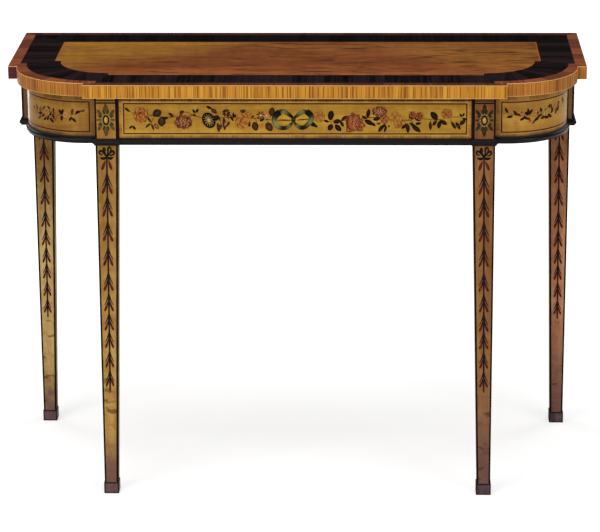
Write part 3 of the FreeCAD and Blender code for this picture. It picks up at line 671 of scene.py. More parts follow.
def painted_finish():
    """Old paint: brushed, a little crazed, and rubbed thin so that the wood shows through."""
    settle, place, *_ = new_finish("painted_ornament", specular=0.03)
    paint = add(place.tree, "ShaderNodeAttribute", {}, "Color", attribute_name="paint")
    brushed = place.noise((420, 420, 420), 3.0, 0.6)
    thin = place.noise((150, 150, 150), 4.0, 0.65).rise(0.58, 0.76, 0.0, 0.3)
    colour = brushed.rise(0.35, 0.7, 0.0, 0.3).mix(paint, (120, 92, 60), "MULTIPLY")
    colour = thin.mix(colour, (160, 116, 48))
    return settle(colour, brushed, roughness=0.4, depth=0.04 * MM, grime=0.1)


PAINT = painted_finish()


def face_outwards():
    """Turns every face of the mesh in hand outwards."""
    bpy.ops.object.mode_set(mode="EDIT")
    bpy.ops.mesh.select_all(action="SELECT")
    bpy.ops.mesh.normals_make_consistent(inside=False)
    bpy.ops.object.mode_set(mode="OBJECT")


def make_stamp(shape):
    """A unit brush mark: a film with an inset body ring and a poked heart on its face."""
    bpy.ops.mesh.primitive_circle_add(vertices=MARK_SIDES, radius=1, fill_type="NGON")
    bpy.ops.object.mode_set(mode="EDIT")
    bpy.ops.mesh.extrude_region_move(TRANSFORM_OT_translate={"value": (0, 0, 1)})
    bpy.ops.mesh.inset(thickness=RIM_WIDTH)
    bpy.ops.mesh.poke()
    face_outwards()
    stamp = bpy.context.object
    mesh = stamp.data
    bpy.data.objects.remove(stamp)
    rings = []
    for vertex in mesh.vertices:
        far = math.hypot(vertex.co.x, vertex.co.y)
        rings.append(0 if far > 0.9 else 1 if far > 0.1 else 2)
        vertex.co.y = shape(vertex.co.x, vertex.co.y)
    return mesh, rings


STAMPS = {
    "leaf": make_stamp(lambda x, y: y * abs(y) ** 0.5),
    "pointed": make_stamp(lambda x, y: y * abs(y) ** 0.75),
    "petal": make_stamp(lambda x, y: y * (0.62 + 0.38 * x)),
    "drop": make_stamp(lambda x, y: y * abs(y) ** 0.2 * (0.7 + 0.3 * x)),
    "round": make_stamp(lambda x, y: y),
}


def eased(points):
    """A smooth line through points, each a row of numbers that starts with across and up."""
    line = []
    ends = [points[0], *points, points[-1]]
    for before, start, end, after in zip(ends, ends[1:], ends[2:], ends[3:]):
        for step in range(LINE_STEPS):
            t = step / LINE_STEPS
            line.append([0.5 * (2 * q + (r - p) * t + (2 * p - 5 * q + 4 * r - s) * t * t
                                + (3 * q - p - 3 * r + s) * t ** 3)
                         for p, q, r, s in zip(before, start, end, after)])
    return line + [list(points[-1])]


class Brush:
    """Lays marks on one face, in millimetres across and up it, and gathers them into one piece."""

    def __init__(self, name, slot, place):
        self.name = name
        self.slot = slot
        self.place = place
        self.marks = []
        self.coats = 0

    def lift(self):
        return COAT * (self.coats + 1)

    def keep(self, mesh, colours):
        paint = mesh.color_attributes.new("paint", "FLOAT_COLOR", "POINT")
        shift = hand.uniform(*TONE_RANGE)
        for point, (red, green, blue, *_) in zip(paint.data, colours):
            point.color = (red * shift, green * shift, blue * shift, 1.0)
        mark = bpy.data.objects.new("mark", mesh)
        bpy.context.scene.collection.objects.link(mark)
        self.marks.append(mark)
        self.coats += 1

    def mark(self, shape, across, up, length, width, turn, colours):
        """One mark of the given length and width about its middle, turned in degrees from level."""
        stamp, rings = STAMPS[shape]
        mesh = stamp.copy()
        size = Matrix.Diagonal((length * MM / 2, width * MM / 2, FILM, 1))
        turned = Matrix.Rotation(math.radians(turn), 4, "Z")
        mesh.transform(Matrix.Translation((across * MM, up * MM, self.lift())) @ turned @ size)
        self.keep(mesh, [colours[ring] for ring in rings])

    def line(self, points, colours, broader=1.0):
        """A brush line through (across, up, width) points."""
        rim, body, _ = colours
        rows = [(across, up, broader * width) for across, up, width in points]
        self.band(rows, lambda row: (rim, body, rim))

    def ribbon(self, points):
        """A ribbon through (across, up, width, light) points, light running from 0 to 1."""
        def shaded(row):
            light = min(max(row[3], 0.0), 1.0) ** RIBBON_CONTRAST
            body = [dark + light * (pale - dark) for dark, pale in zip(RIBBON_DARK, RIBBON_LIGHT)]
            left, right = ([edge * level for level in body] for edge in RIBBON_EDGES)
            return left, body, right

        self.band(points, shaded)

    def band(self, points, shaded):
        """A strip, five corners round; shaded gives the colours of its left, body and right."""
        route = eased(points)
        last = len(route) - 1
        top, foot = Vector((0, 0, FILM + self.lift())), Vector((0, 0, self.lift()))
        verts, colours = [], []
        for i, row in enumerate(route):
            ahead, behind = route[min(i + 1, last)], route[max(i - 1, 0)]
            way = Vector((ahead[0] - behind[0], ahead[1] - behind[1], 0)).normalized()
            middle = Vector((row[0], row[1], 0)) * MM
            side = Vector((-way.y, way.x, 0)) * row[2] * MM / 2
            verts += [middle + side + top, middle + top, middle - side + top,
                      middle - side + foot, middle + side + foot]
            left, body, right = shaded(row)
            colours += [left, body, right, right, left]
        faces = [(0, 1, 2, 3, 4)]
        for here in range(0, 5 * last, 5):
            for j, k in ((0, 1), (1, 2), (2, 3), (3, 4), (4, 0)):
                faces.append((here + k, here + j, here + 5 + j, here + 5 + k))
        faces.append(tuple(5 * last + j for j in (4, 3, 2, 1, 0)))
        mesh = bpy.data.meshes.new("line")
        mesh.from_pydata(verts, [], faces)
        self.keep(mesh, colours)

    def done(self):
        """Joins the marks, lays them on their face and lets the piece ride."""
        bpy.ops.object.select_all(action="DESELECT")
        for mark in self.marks:
            mark.select_set(True)
        bpy.context.view_layer.objects.active = self.marks[0]
        bpy.ops.object.join()
        piece = bpy.context.object
        piece.name = self.name
        piece.data.name = self.name
        for vertex in piece.data.vertices:
            vertex.co = self.place(*vertex.co)
        face_outwards()
        piece.data.materials.append(PAINT)
        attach(piece, "root")


def on_flat(middle, face):
    """A flat part of the frieze; across runs from the given middle."""
    def place(across, up, proud):
        return Vector((middle + across, face - proud, FRIEZE_MIDDLE + up))

    return place


def on_curve(side):
    """The curved frieze of one side; across runs outwards from the curve's start."""
    def place(across, up, proud):
        run = side * across
        turn = max(run, 0.0) / CURVE_RADIUS
        radius = CURVE_RADIUS + proud
        aside = CURVE_X + radius * math.sin(turn) + min(run, 0.0)
        return Vector((side * aside, CURVE_Y - radius * math.cos(turn), FRIEZE_MIDDLE + up))

    return place


def on_leg(side, sizes, front):
    """The front face of a leg; across runs from the face's middle, up from the floor."""
    def place(across, up, proud):
        down = min(max((LEG_TOP - up) / (LEG_TOP - LEG_TOE), 0.0), 1.0)
        inner = sizes["inner_top"] + down * (sizes["inner_toe"] - sizes["inner_top"])
        face = sizes["fixed"]
        if not front:
            face = sizes["tapered_top"] + down * (sizes["tapered_toe"] - sizes["tapered_top"])
        return Vector((side * (inner + sizes["outer"]) / 2 + across, face - proud, up))

    return place


def oval(across, up, wide, tall, turn):
    """The place on an oval round that middle, at a turn in degrees."""
    way = math.radians(turn)
    return across + wide * math.cos(way), up + tall * math.sin(way)


def leaf(brush, across, up, length, turn, width, colours=LEAF_DARK):
    """A leaf, veined if it is long; its width is a share of its length."""
    turn += hand.uniform(-5, 5)
    brush.mark("leaf", across, up, length, length * width, turn, colours)
    if length > VEINED_LENGTH:
        brush.mark("leaf", across, up, length * 0.78, length * 0.05, turn, VEIN)


def sprig(brush, across, up, length, turns, width, colours=LEAF_DARK):
    """Leaves that spring from one point."""
    reach = length * 0.55
    for turn in turns:
        leaf(brush, *oval(across, up, reach, reach, turn), length, turn, width, colours)


def petals(brush, across, up, wide, tall, count, shares, turn, colours):
    """A ring of petals; shares are their reach, length and width beside the ring's size."""
    reach, length, width = shares
    for i in range(count):
        angle = turn + i * 360 / count + hand.uniform(-7, 7)
        brush.mark("petal", *oval(across, up, wide * reach, tall * reach, angle),
                   (wide + tall) * length, (wide + tall) * width, angle, colours)


ARC_TAPER = (0.2, 0.75, 1.0, 0.75, 0.2)


def arc(brush, across, up, wide, tall, start, span, thick, colours):
    """A stroke along part of an oval, thickest in its middle."""
    points = []
    for i, taper in enumerate(ARC_TAPER):
        turn = start + span * i / (len(ARC_TAPER) - 1)
        points.append((*oval(across, up, wide, tall, turn), thick * taper))
    brush.line(points, colours)


# Rings of a rose: how many petals, their reach and their size as shares of its half size.
ROSE_RINGS = ((6, 0.52, 1.0), (4, 0.3, 0.78), (2, 0.12, 0.5))
ROSE_HEART = 0.1


def rose(brush, across, up, wide, tall, tones, turn):
    """A full-blown rose: rings of lapped petals, each with a light on its lip and a fold behind it."""
    base, fold, light = tones
    size = (wide + tall) / 2
    brush.coats = FLOWER_COATS
    brush.mark("round", across, up, wide * 1.4, tall * 1.4, 0.0, base)
    for ring, (count, reach, share) in enumerate(ROSE_RINGS):
        heart = oval(across, up, ROSE_HEART * ring * wide, ROSE_HEART * ring * tall, turn + 80)
        long = size * share
        for i in range(count):
            angle = turn + 40 * ring + i * 360 / count + hand.uniform(-12, 12)
            petal = oval(*heart, reach * wide, reach * tall, angle)
            brush.mark("round", *petal, long * 0.94, long * 1.16, angle, base)
            arc(brush, *petal, long * 0.3, long * 0.36, angle - 60, 120, long * 0.18, light)
            arc(brush, *petal, long * 0.44, long * 0.5, angle + 115, 130, long * 0.18, fold)
    brush.mark("leaf", *heart, size * 0.42, size * 0.2, turn + 30, fold)


# Rings of a frilled flower: how many lobes, their reach and their size as shares of its half size.
FRILLS = ((11, 0.74, 0.52), (9, 0.5, 0.48), (6, 0.25, 0.4))
FRILL_FLECKS = 16
FLECK_TURN = 137.5


def frilled(brush, across, up, wide, tall, tones, turn):
    """A frilled flower: rings of small lobes, flecked with pale paint at the heart."""
    base, fold, light = tones
    brush.coats = FLOWER_COATS
    brush.mark("round", across, up, wide * 1.75, tall * 1.75, 0.0, fold)
    for count, reach, share in FRILLS:
        size = (wide + tall) * share
        for i in range(count):
            angle = turn + i * 360 / count + hand.uniform(-8, 8)
            brush.mark("petal", *oval(across, up, wide * reach, tall * reach, angle),
                       size * 0.5, size * 0.55, angle, fold if i % 3 == 0 else base)
    for i in range(FRILL_FLECKS):
        angle = turn + FLECK_TURN * i
        reach = 0.16 + 0.036 * i
        brush.mark("leaf", *oval(across, up, wide * reach, tall * reach, angle), 5.0, 1.7, angle, light)


def blossom(brush, across, up, size, petal_colours, heart_colours, count=6):
    """A small open flower."""
    brush.coats = FLOWER_COATS
    petals(brush, across, up, size, size, count, (0.55, 0.42, 0.26), 10.0, petal_colours)
    brush.mark("round", across, up, size * 0.5, size * 0.5, 0.0, heart_colours)


def bud(brush, across, up, length, turn, colours):
    """A closed flower with its calyx behind it."""
    brush.coats = FLOWER_COATS
    reach, width = length * 0.26, length * 0.36
    brush.mark("leaf", *oval(across, up, -reach, -reach, turn), length * 0.7, width, turn, LEAF_DARK)
    tip = oval(across, up, reach, reach, turn)
    for lean in (-14, 14, 0):
        brush.mark("petal", *tip, length * 0.66, width, turn + lean, colours)


GLORY_RAYS = 13
RAY_TAPER = ((0.22, 1.0), (0.5, 1.2), (0.8, 0.5))


def morning_glory(brush, across, up, wide, tall, turn):
    """A trumpet flower seen full face: black, with pale rays from a golden throat."""
    brush.coats = FLOWER_COATS
    brush.mark("round", across, up, wide * 2, tall * 2, turn, GLORY_BLACK)
    brush.mark("round", across, up, wide * 0.5, tall * 0.54, turn, GOLD)
    level, steep = oval(0, 0, 1, 1, turn)
    for i in range(GLORY_RAYS):
        points = []
        for reach, width in RAY_TAPER:
            aside, above = oval(0, 0, wide * reach, tall * reach, 360 * i / GLORY_RAYS)
            points.append((across + aside * level - above * steep,
                           up + aside * steep + above * level, width))
        brush.line(points, GLORY_RAY)
    petals(brush, across, up, wide * 0.36, tall * 0.36, 5, (0.42, 0.4, 0.16), turn, CREAM)
    brush.mark("round", across, up, 3.4, 3.4, 0.0, YELLOW)


# The peony: its outer petals as across, up, length, width and turn; its shells as shares of its size,
# each of three strokes with a start and a span in degrees.
PEONY_PETALS = ((129, -12.5, 26, 13, 348), (125, -19, 24, 13, 334), (126, -6.5, 22, 12, 14),
                (122.5, 0, 20, 13, 48), (115.5, 4, 17, 14, 96), (107, -4, 21, 12, 104),
                (109.5, -21, 18, 15, 225))
PEONY_SHELLS = (0.96, 0.76, 0.56, 0.36)
SHELL_STROKES = ((-70, 62), (2, 66), (76, 44))


def peony(brush, across, up, wide, tall, tones):
    """A half-open flower: pointed outer petals, and nested shells that open to the right."""
    base, fold, light = tones
    brush.coats = FLOWER_COATS
    for petal_across, petal_up, length, width, turn in PEONY_PETALS:
        brush.mark("leaf", petal_across, petal_up, length, width, turn, base)
        brush.mark("leaf", petal_across, petal_up, length * 0.7, width * 0.2, turn, light)
    brush.mark("round", across, up, 2 * wide, 2 * tall, 0.0, base)
    arc(brush, across, up, wide * 0.9, tall * 0.92, 110, 140, 4.5, fold)
    for share in PEONY_SHELLS:
        low = up - 4 + 4 * share
        for stroke in SHELL_STROKES:
            arc(brush, across - 3, low, wide * share, tall * share, *stroke, 3.2, light)
            arc(brush, across - 0.8, low, wide * share, tall * share, *stroke, 2.2, fold)
    brush.mark("leaf", across - 3, up - 1, tall * 0.5, wide * 0.3, 80.0, base)


# The garland, in millimetres from the middle of the front frieze: stems are (across, up, width) lines.
GARLAND_STEMS = (
    ((-6, -4, 1.2), (-28, -5, 1.2), (-58, -2, 1.1), (-82, 0, 1.1), (-120, 2, 1.1), (-150, 1, 1.1),
     (-186, 1, 1.1), (-204, 6, 1.1), (-218, 2, 1.0), (-242, 3, 1.0), (-262, 2, 1.0), (-284, 5, 0.9),
     (-300, 2, 0.8), (-318, 8, 0.8), (-334, 16, 0.6)),
    ((4, -4, 1.2), (40, -1, 1.1), (60, -5, 1.1), (80, -8, 1.1), (104, -3, 1.1), (130, -1, 1.1),
     (158, 2, 1.1), (186, -2, 1.1), (210, -3, 1.0), (228, -4, 1.0), (244, 1, 1.0), (266, -2, 1.0),
     (286, -3, 1.0), (308, 2, 0.9), (332, 3, 0.7)),
    ((-240, 3, 0.9), (-256, -1, 0.9), (-266, -5, 0.8)),
    ((-295, 20, 0.7), (-294, 9, 0.8), (-287, 6, 0.9), (-278, 8, 0.8)),
    ((-287, -10, 0.9), (-284, -2, 0.9), (-280, 4, 0.9)), ((-204, 6, 0.9), (-214, 12, 0.9), (-226, 12, 0.8)),
    ((-204, 6, 0.9), (-200, 12, 0.8), (-196, 17, 0.6)), ((-150, 1, 0.9), (-148, -8, 0.9), (-152, -18, 0.8)),
    ((-150, 1, 0.9), (-158, 10, 0.9), (-164, 18, 0.7)), ((-120, 2, 0.9), (-128, 6, 0.9), (-135, 12, 0.8)),
    ((-142, 1, 0.9), (-139, -5, 0.9), (-139, -14, 0.8)), ((-82, 0, 0.9), (-76, -8, 0.9), (-79, -18, 0.8)),
    ((-58, -2, 0.9), (-52, -10, 0.9), (-51, -18, 0.8)), ((-56, -2, 0.9), (-48, 4, 0.9), (-46, 14, 0.8)),
    ((80, -8, 0.9), (74, -2, 0.9), (72, 8, 0.8)), ((88, -8, 0.9), (94, -4, 0.9), (102, 4, 0.7)),
    ((136, -1, 0.9), (142, 6, 0.9), (147, 14, 0.8)), ((136, -1, 0.9), (146, -7, 0.9), (157, -13, 0.8)),
    ((186, -2, 0.9), (182, -10, 0.9), (178, -18, 0.8)), ((224, -4, 0.9), (230, 0, 0.9), (234, 7, 0.8)),
    ((212, -3, 0.9), (220, -8, 0.9), (226, -18, 0.8)), ((232, -4, 0.9), (236, -12, 0.9), (242, -20, 0.8)),
    ((286, -3, 0.9), (280, 2, 0.9), (276, 8, 0.8)), ((272, -2, 0.9), (270, -10, 0.9), (270, -18, 0.8)),
    ((308, 2, 0.8), (312, -6, 0.8), (318, -16, 0.7)), ((332, 3, 0.7), (334, 7, 0.6), (336, 11, 0.5)),
)
# Leaves as (across, up, length, turn, width as a share of the length).
GARLAND_LEAVES = (
    (-335, 17.4, 14, 320, 0.34), (-328.5, -18.7, 9, 40, 0.5), (-321.8, -20, 10, 308, 0.5),
    (-258.4, 0.2, 10, 350, 0.6), (-300, -6, 7, 200, 0.4), (-247.3, 7.1, 13, 322, 0.44),
    (-201.5, 14, 10, 300, 0.5), (-195, 15.5, 10, 62, 0.5), (-200.7, 5.9, 8, 340, 0.5),
    (-157.6, 0.2, 14, 24, 0.8), (-171.2, 21.8, 12, 332, 0.5), (-120.7, 4, 10, 48, 0.5),
    (-125, -2, 9, 300, 0.5), (-122.7, 7, 10, 100, 0.45), (-91.6, -11, 14, 278, 0.42),
    (-85, 3, 9, 30, 0.45), (-66, -4, 10, 200, 0.5), (71.8, 6, 21, 86, 0.6),
    (62.9, -5.8, 10, 150, 0.55), (70.7, -18.4, 15, 242, 0.72), (84, -6.5, 16, 12, 0.62),
    (86.2, -19.6, 18, 312, 0.6), (98, 0.5, 15, 42, 0.42), (94, -11.6, 13, 302, 0.5),
    (146.4, 10.1, 19, 76, 0.42), (138.7, 2, 13, 150, 0.42), (147.6, -8.2, 20, 330, 0.5),
    (156, -12, 12, 325, 0.5), (163.1, -1, 15, 18, 0.56), (172.2, -20, 19, 233, 0.4),
    (180.4, -22, 14, 252, 0.36), (179, -15, 9, 290, 0.5), (219, -15.8, 17, 222, 0.42),
    (225.3, -20.5, 19, 276, 0.4), (234, -12.4, 14, 336, 0.42), (242, -20.8, 23, 321, 0.42),
    (246, -10.5, 12, 8, 0.5), (277.6, 5.5, 20, 309, 0.64), (278.7, -9.4, 13, 232, 0.52),
    (287.6, -12.8, 16, 266, 0.52), (296.4, -8.2, 17, 326, 0.5), (270.2, -15.1, 18, 268, 0.34),
    (316.4, -14, 18, 302, 0.36), (325.3, -15.1, 18, 296, 0.4), (334.2, -8.2, 15, 42, 0.55),
    (330.5, 6.6, 8, 120, 0.5), (336, 7.4, 8, 60, 0.5), (338, -1, 10, 350, 0.5),
)
# Then leaves of other colours and the flowers, in the order they were painted.
GARLAND_MARKS = (
    (leaf, -275.1, 10.5, 19, 25, 0.86, LEAF_OLIVE),
    (leaf, -266.2, -7.2, 20, 80, 0.8, LEAF_OLIVE),
    (leaf, -153.1, -19, 20, 278, 0.32, LEAF_BROWN),
    (leaf, -148.9, -18.3, 13, 64, 0.42, LEAF_BROWN),
    (leaf, -141.2, -11.8, 27, 278, 0.26, LEAF_BROWN),
    (leaf, -134.5, -12.4, 14, 49, 0.42, LEAF_BROWN),
    (leaf, -79.3, -16.6, 19, 284, 0.72, LEAF_BROWN),
    (leaf, -51.6, -17.6, 20, 300, 0.74, LEAF_BROWN),
    (leaf, -46, 13.6, 18, 78, 0.66, LEAF_BROWN),
    (sprig, -287.3, -10.1, 15, (217, 288, 120), 0.26),
    (rose, -308.5, 6.5, 13.5, 18, TAWNY_ROSE, 15),
    (Brush.mark, "leaf", -276.8, -16.4, 14, 8.5, 308, RUST),
    (Brush.mark, "leaf", -301, -6, 7, 2.4, 300, RED),
    (Brush.mark, "petal", -228.5, 6, 11, 7, 60, CRIMSON),
    (leaf, -225.6, 12.8, 10, 12, 0.66, LEAF_BROWN),
    (frilled, -223, -8.5, 19, 14, FRILLED, 40),
    (morning_glory, -172, -4.4, 13, 17, 25),
    (leaf, -161.3, 14.9, 14, 316, 0.6, LEAF_BROWN),
    (Brush.mark, "leaf", -161, 15.4, 9, 3.6, 316, PURPLE),
    (blossom, -137, 11.3, 8.6, LEAF_DARK, LEAF_TAN, 9),
    (blossom, -130.6, 2.6, 5.4, LEAF_DARK, LEAF_TAN),
    (Brush.mark, "leaf", -137.8, -10.6, 14, 5.0, 66, LEAF_TAN),
    (rose, -93, 5, 8, 9, ORANGE_ROSE, 120),
    (rose, -105, -6, 14.5, 16.5, ORANGE_ROSE, 70),
    (sprig, -103.5, 10.6, 8, (55, 92, 130), 0.55, LEAF_BROWN),
    (blossom, -68, 6, 9.5, CRIMSON, CREAM, 7),
    (blossom, -57, 6, 9, PINK, YELLOW),
    (blossom, -66, -14, 6, ORANGE, RED, 5),
    (rose, 48.4, 3.3, 11.5, 13, GOLD_ROSE, 25),
    (Brush.mark, "round", 75, -9, 5.5, 5.0, 0.0, ORANGE),
    (Brush.mark, "leaf", 105, -1, 13, 5.0, 70, CRIMSON),
    (peony, 117, -9.5, 14.5, 17.5, RED_ROSE),
    (rose, 178.7, -1, 8, 11, RED_ROSE, 60),
    (frilled, 168.7, 14, 16, 11, FRILLED, 10),
    (Brush.mark, "leaf", 166.8, -10.8, 8.5, 5.0, 0.0, CRIMSON),
    (Brush.mark, "round", 187.5, -15.8, 4.0, 4.0, 0.0, BLACK),
    (Brush.line, ((-153.5, 3, 1.8), (-150.6, -1, 2.0), (-151, -5.5, 1.0)), BLACK),
    (rose, 206, -12, 9.5, 8, GOLD_ROSE, 200),
    (rose, 201, 0, 12.5, 14, GOLD_ROSE, 50),
    (arc, 203, -4, 10.5, 15, 245, 110, 4.5, TAWNY_ROSE[0]),
    (rose, 234.5, 7.8, 7, 7, CHERRY_ROSE, 100),
    (arc, 234, 7.3, 7, 7, 185, 115, 3.0, LEAF_DARK),
    (rose, 248, 4.6, 8.5, 8.5, CHERRY_ROSE, 100),
    (arc, 247.5, 4.1, 8.5, 8.5, 185, 115, 3.0, LEAF_DARK),
    (rose, 303, 10, 11.5, 11, TAWNY_ROSE, 140),
)
# Red strings through the bow as (across, up, width), and its strands as (across, up, width, light).
BOW_STRINGS = (((-34, -2.2, 1.0), (-22, -3, 2.4), (-8, -4, 1.4)),
               ((5, -3.4, 1.4), (18, -2.4, 2.6), (30, -1.5, 1.2)))
BOW_WIDTH = 1.14
BOW_STRANDS = (
    ((34, 1, 5, 0.5), (31, -8, 9, 0.0), (37, -13, 7, 0.0), (45, -17.5, 2.5, 0.0)),
    ((-1, -9, 4, 0.05), (5, -15.5, 6.5, 0.75), (13, -19.5, 7.5, 0.1), (21, -17, 8, 0.25),
     (29, -9, 8.5, 0.85)),
    ((-5, -9, 4, 0.1), (-12, -16.5, 6.5, 0.75), (-22, -20, 7.5, 0.1), (-33, -18, 8, 0.8),
     (-40, -10, 8.5, 0.95), (-41, -2, 9.5, 0.6), (-38, 6, 11, 0.1), (-30, 13, 11, 0.0)),
    ((-31, 14.5, 5, 0.0), (-24, 14.8, 7.5, 0.8), (-16, 11, 7.5, 0.65), (-9, 5.5, 6, 0.1), (-3, 1, 4, 0.0)),
    ((29, -9, 8.5, 0.85), (33.5, 0, 9, 0.7), (31, 7.5, 10.5, 0.05), (23, 14, 10.5, 0.0)),
    ((24, 14.5, 5, 0.0), (16, 13.5, 7.5, 0.85), (8, 8.5, 7, 0.7), (0, 2, 4, 0.1)),
)


def paint_bow():
    """The ribbon bow that ties the garland in its middle."""
    brush = Brush("painted_bow", "frieze_satinwood", on_flat(0.0, FRIEZE_FACE))
    for string in BOW_STRINGS:
        brush.line(string, RED)
    brush.coats = FLOWER_COATS
    for strand in BOW_STRANDS:
        brush.ribbon([(across, up, BOW_WIDTH * width, light) for across, up, width, light in strand])
    brush.mark("round", -2.7, -2.5, 9, 13, 0.0, BOW_BLACK)
    brush.mark("leaf", -3.4, -2, 9, 2.6, 75, VEIN)
    brush.mark("leaf", -0.6, -3, 8, 2.0, 100, LEAF_OLIVE)
    brush.done()


# The sprays, in millimetres from each curve's start: a stem, dark leaves, then other marks in order.
LEFT_STEM = ((-8, 9, 0.8), (-26, 3, 1.0), (-48, 1, 1.1), (-80, -2, 1.1), (-106, -4, 1.0), (-130, 3, 0.7))
LEFT_LEAVES = (
    (-116, 7, 12, 100, 0.42), (-128, 5, 9, 80, 0.45), (-104, -3, 12, 190, 0.5), (-82, -10, 11, 250, 0.5),
    (-72, -13, 13, 322, 0.5), (-90, -12, 11, 215, 0.45), (-96, -7, 9, 200, 0.5), (-29, -6, 11, 240, 0.45),
    (-22, -8, 12, 310, 0.45), (-16, 7, 9, 60, 0.45), (-67, 7, 14, 100, 0.34), (-68, -5, 11, 300, 0.45),
)
LEFT_MARKS = (
    (sprig, -48, 1, 12, (75, 118, 268), 0.5),
    (leaf, -107, -12, 14, 215, 0.4, PURPLE),
    (leaf, -25, 9, 13, 75, 0.5, CRIMSON),
    (rose, -84, 4, 8, 8, (LEAF_TAN, LEAF_BROWN, CREAM), 30),
    (arc, -84, 4, 11, 10, -60, 70, 3.2, LEAF_DARK),
    (arc, -84, 4, 11, 10, 30, 60, 3.2, LEAF_DARK),
    (arc, -84, 4, 11, 10, 110, 60, 3.2, LEAF_DARK),
    (blossom, -104, 5, 6, CRIMSON, RED, 5),
    (blossom, -60, -4, 5, ORANGE, RED, 5),
    (blossom, -40, 2, 6, YELLOW, RED),
    (blossom, -31, 1, 5, PINK, YELLOW, 5),
    (bud, -9, 10, 16, 15, PURPLE),
    (bud, -62, -7, 11, 250, RED),
    (blossom, -62, 4, 4.5, ORANGE, RED, 5),
)
RIGHT_STEM = ((0, 9, 0.8), (14, 4, 1.0), (33, 1, 1.1), (62, -2, 1.1), (84, -3, 1.1), (106, 1, 1.0),
              (126, 8, 0.7))
RIGHT_LEAVES = (
    (0, 13, 13, 120, 0.4), (7, 0, 13, 198, 0.44), (18, 7, 14, 128, 0.42), (33, -5, 13, 205, 0.46),
    (40, -4, 12, 320, 0.45), (64, -8, 14, 215, 0.46), (71, -2, 12, 20, 0.45), (79, -7, 13, 190, 0.45),
    (97, -6, 14, 330, 0.45), (104, 4, 13, 70, 0.45), (74, 8, 14, 110, 0.36), (95, 13, 13, 60, 0.4),
    (88, -8, 13, 350, 0.45), (66, 4, 10, 95, 0.4), (101, 12, 11, 85, 0.4), (26, 3, 10, 140, 0.4),
)
RIGHT_MARKS = (
    (sprig, 46, 1, 14, (58, 98, 142), 0.42),
    (leaf, 57, -14, 11, 230, 0.4, LEAF_BROWN),
    (blossom, 31, 8, 8, ORANGE, RED),
    (blossom, 18, -13, 6, PINK, ORANGE, 5),
    (bud, 50, -10, 14, 310, PINK),
    (rose, 85, 6, 10, 11, (GOLD, LEAF_OLIVE, CREAM), 20),
    (blossom, 62, 7, 6, ORANGE, CREAM, 5),
    (blossom, 48, -11, 6, ORANGE, RED, 5),
    (blossom, 110, 12, 5, PINK, ORANGE, 5),
    (bud, 124, 9, 17, 80, CRIMSON),
    (leaf, 117, 0, 13, 60, 0.45, PURPLE),
    (leaf, 145, 17, 13, 110, 0.4, LEAF_BROWN),
)


def paint_trail(name, place, stems, broader, leaf_coats, leaves, marks):
    """A trail of leaves and blossoms along one frieze."""
    brush = Brush(name, "frieze_satinwood", place)
    for stem in stems:
        brush.line(stem, STEM, broader)
    brush.coats = leaf_coats
    for row in leaves:
        leaf(brush, *row)
    for kind, *row in marks:
        kind(brush, *row)
    brush.done()


# The patera: its leaves as turn, reach, length and width, and the turns of the darts between them.
PATERA_LEAVES = ((90, 22, 24, 9.5), (270, 22, 24, 9.5), (50, 19, 17, 7), (130, 19, 17, 7),
                 (310, 19, 17, 7), (230, 19, 17, 7), (2, 14, 10, 4.6), (178, 14, 10, 4.6))
PATERA_DARTS = (24, 70, 110, 156, 204, 250, 290, 336)
PATERA_BEADS = 12
PATERA_MIDDLE = -3.0


def paint_patera(side, end, green):
    """A pointed-leaf rosette round an oval boss on a leg's head."""
    middle = side * (FRONT_LEG["outer"] + FRONT_LEG["inner_top"]) / 2
    brush = Brush("painted_patera_" + end, "frieze_satinwood", on_flat(middle, FRONT_LEG["fixed"]))
    for turn in PATERA_DARTS:
        brush.mark("leaf", *oval(0, PATERA_MIDDLE, 15, 25, turn), 10, 2.6, turn, PATERA_RED)
        brush.mark("pointed", *oval(0, PATERA_MIDDLE, 12, 17.5, turn), 11, 4.4, turn, PATERA_DARK)
    for turn, reach, length, width in PATERA_LEAVES:
        at = oval(0, PATERA_MIDDLE, reach, reach, turn)
        level, steep = oval(0, 0, 1, 1.25, turn)
        lean = math.degrees(math.atan2(steep, level))
        brush.mark("pointed", *at, length, width, lean, green)
        brush.mark("leaf", *at, length * 0.7, width * 0.16, lean, PATERA_VEIN)
    for i in range(PATERA_BEADS):
        at = oval(0, PATERA_MIDDLE, 8.4, 12.4, 360 * i / PATERA_BEADS)
        brush.mark("round", *at, 4.0, 4.0, 0.0, PATERA_BEAD)
    brush.mark("round", 0, PATERA_MIDDLE, 13.6, 21, 0.0, PATERA_RING)
    brush.mark("round", 0, PATERA_MIDDLE, 8.0, 13.6, 0.0, PATERA_BOSS)
    brush.mark("leaf", -0.8, PATERA_MIDDLE + 2.5, 7, 2.2, 80.0, CREAM)
    brush.mark("leaf", 1.8, PATERA_MIDDLE - 2, 8, 2.2, 100.0, ORANGE)
    brush.done()


# The bow at a leg's head, and the tips of the husks hung from it, in millimetres up from the floor.
LEG_BOW = (
    ((0, 724, 2.0), (-4.5, 730, 2.6), (-10, 736, 3.2), (-14.6, 735.5, 2.8), (-14, 730.5, 2.4),
     (-8, 728, 1.6)),
    ((0, 724, 2.0), (-4, 733, 2.6), (-6.8, 740, 3.0), (-4.2, 742.5, 2.2), (-2, 736, 1.6)),
    ((0, 724, 2.0), (2.6, 733, 2.4), (2.6, 741, 3.0), (6.2, 744.5, 3.0), (8.6, 740, 2.4), (6.4, 734.5, 1.6)),
    ((0, 724, 2.0), (7.5, 733, 2.6), (12.6, 736.2, 3.2), (14.8, 731.4, 2.8), (10, 727.6, 2.2),
     (5, 727, 1.4)),
    ((0, 723, 2.4), (-6.8, 720.6, 4.4), (-13.6, 722.4, 1.6)),
    ((0, 723, 2.4), (6.8, 720.8, 4.4), (13.6, 723.4, 1.6)),
)
LEG_BOW_WIDTH = 1.4
BOW_KNOT = 723.5
HUSK_TIPS = (699, 649, 601, 549, 497, 444, 400, 359, 321, 279, 238)
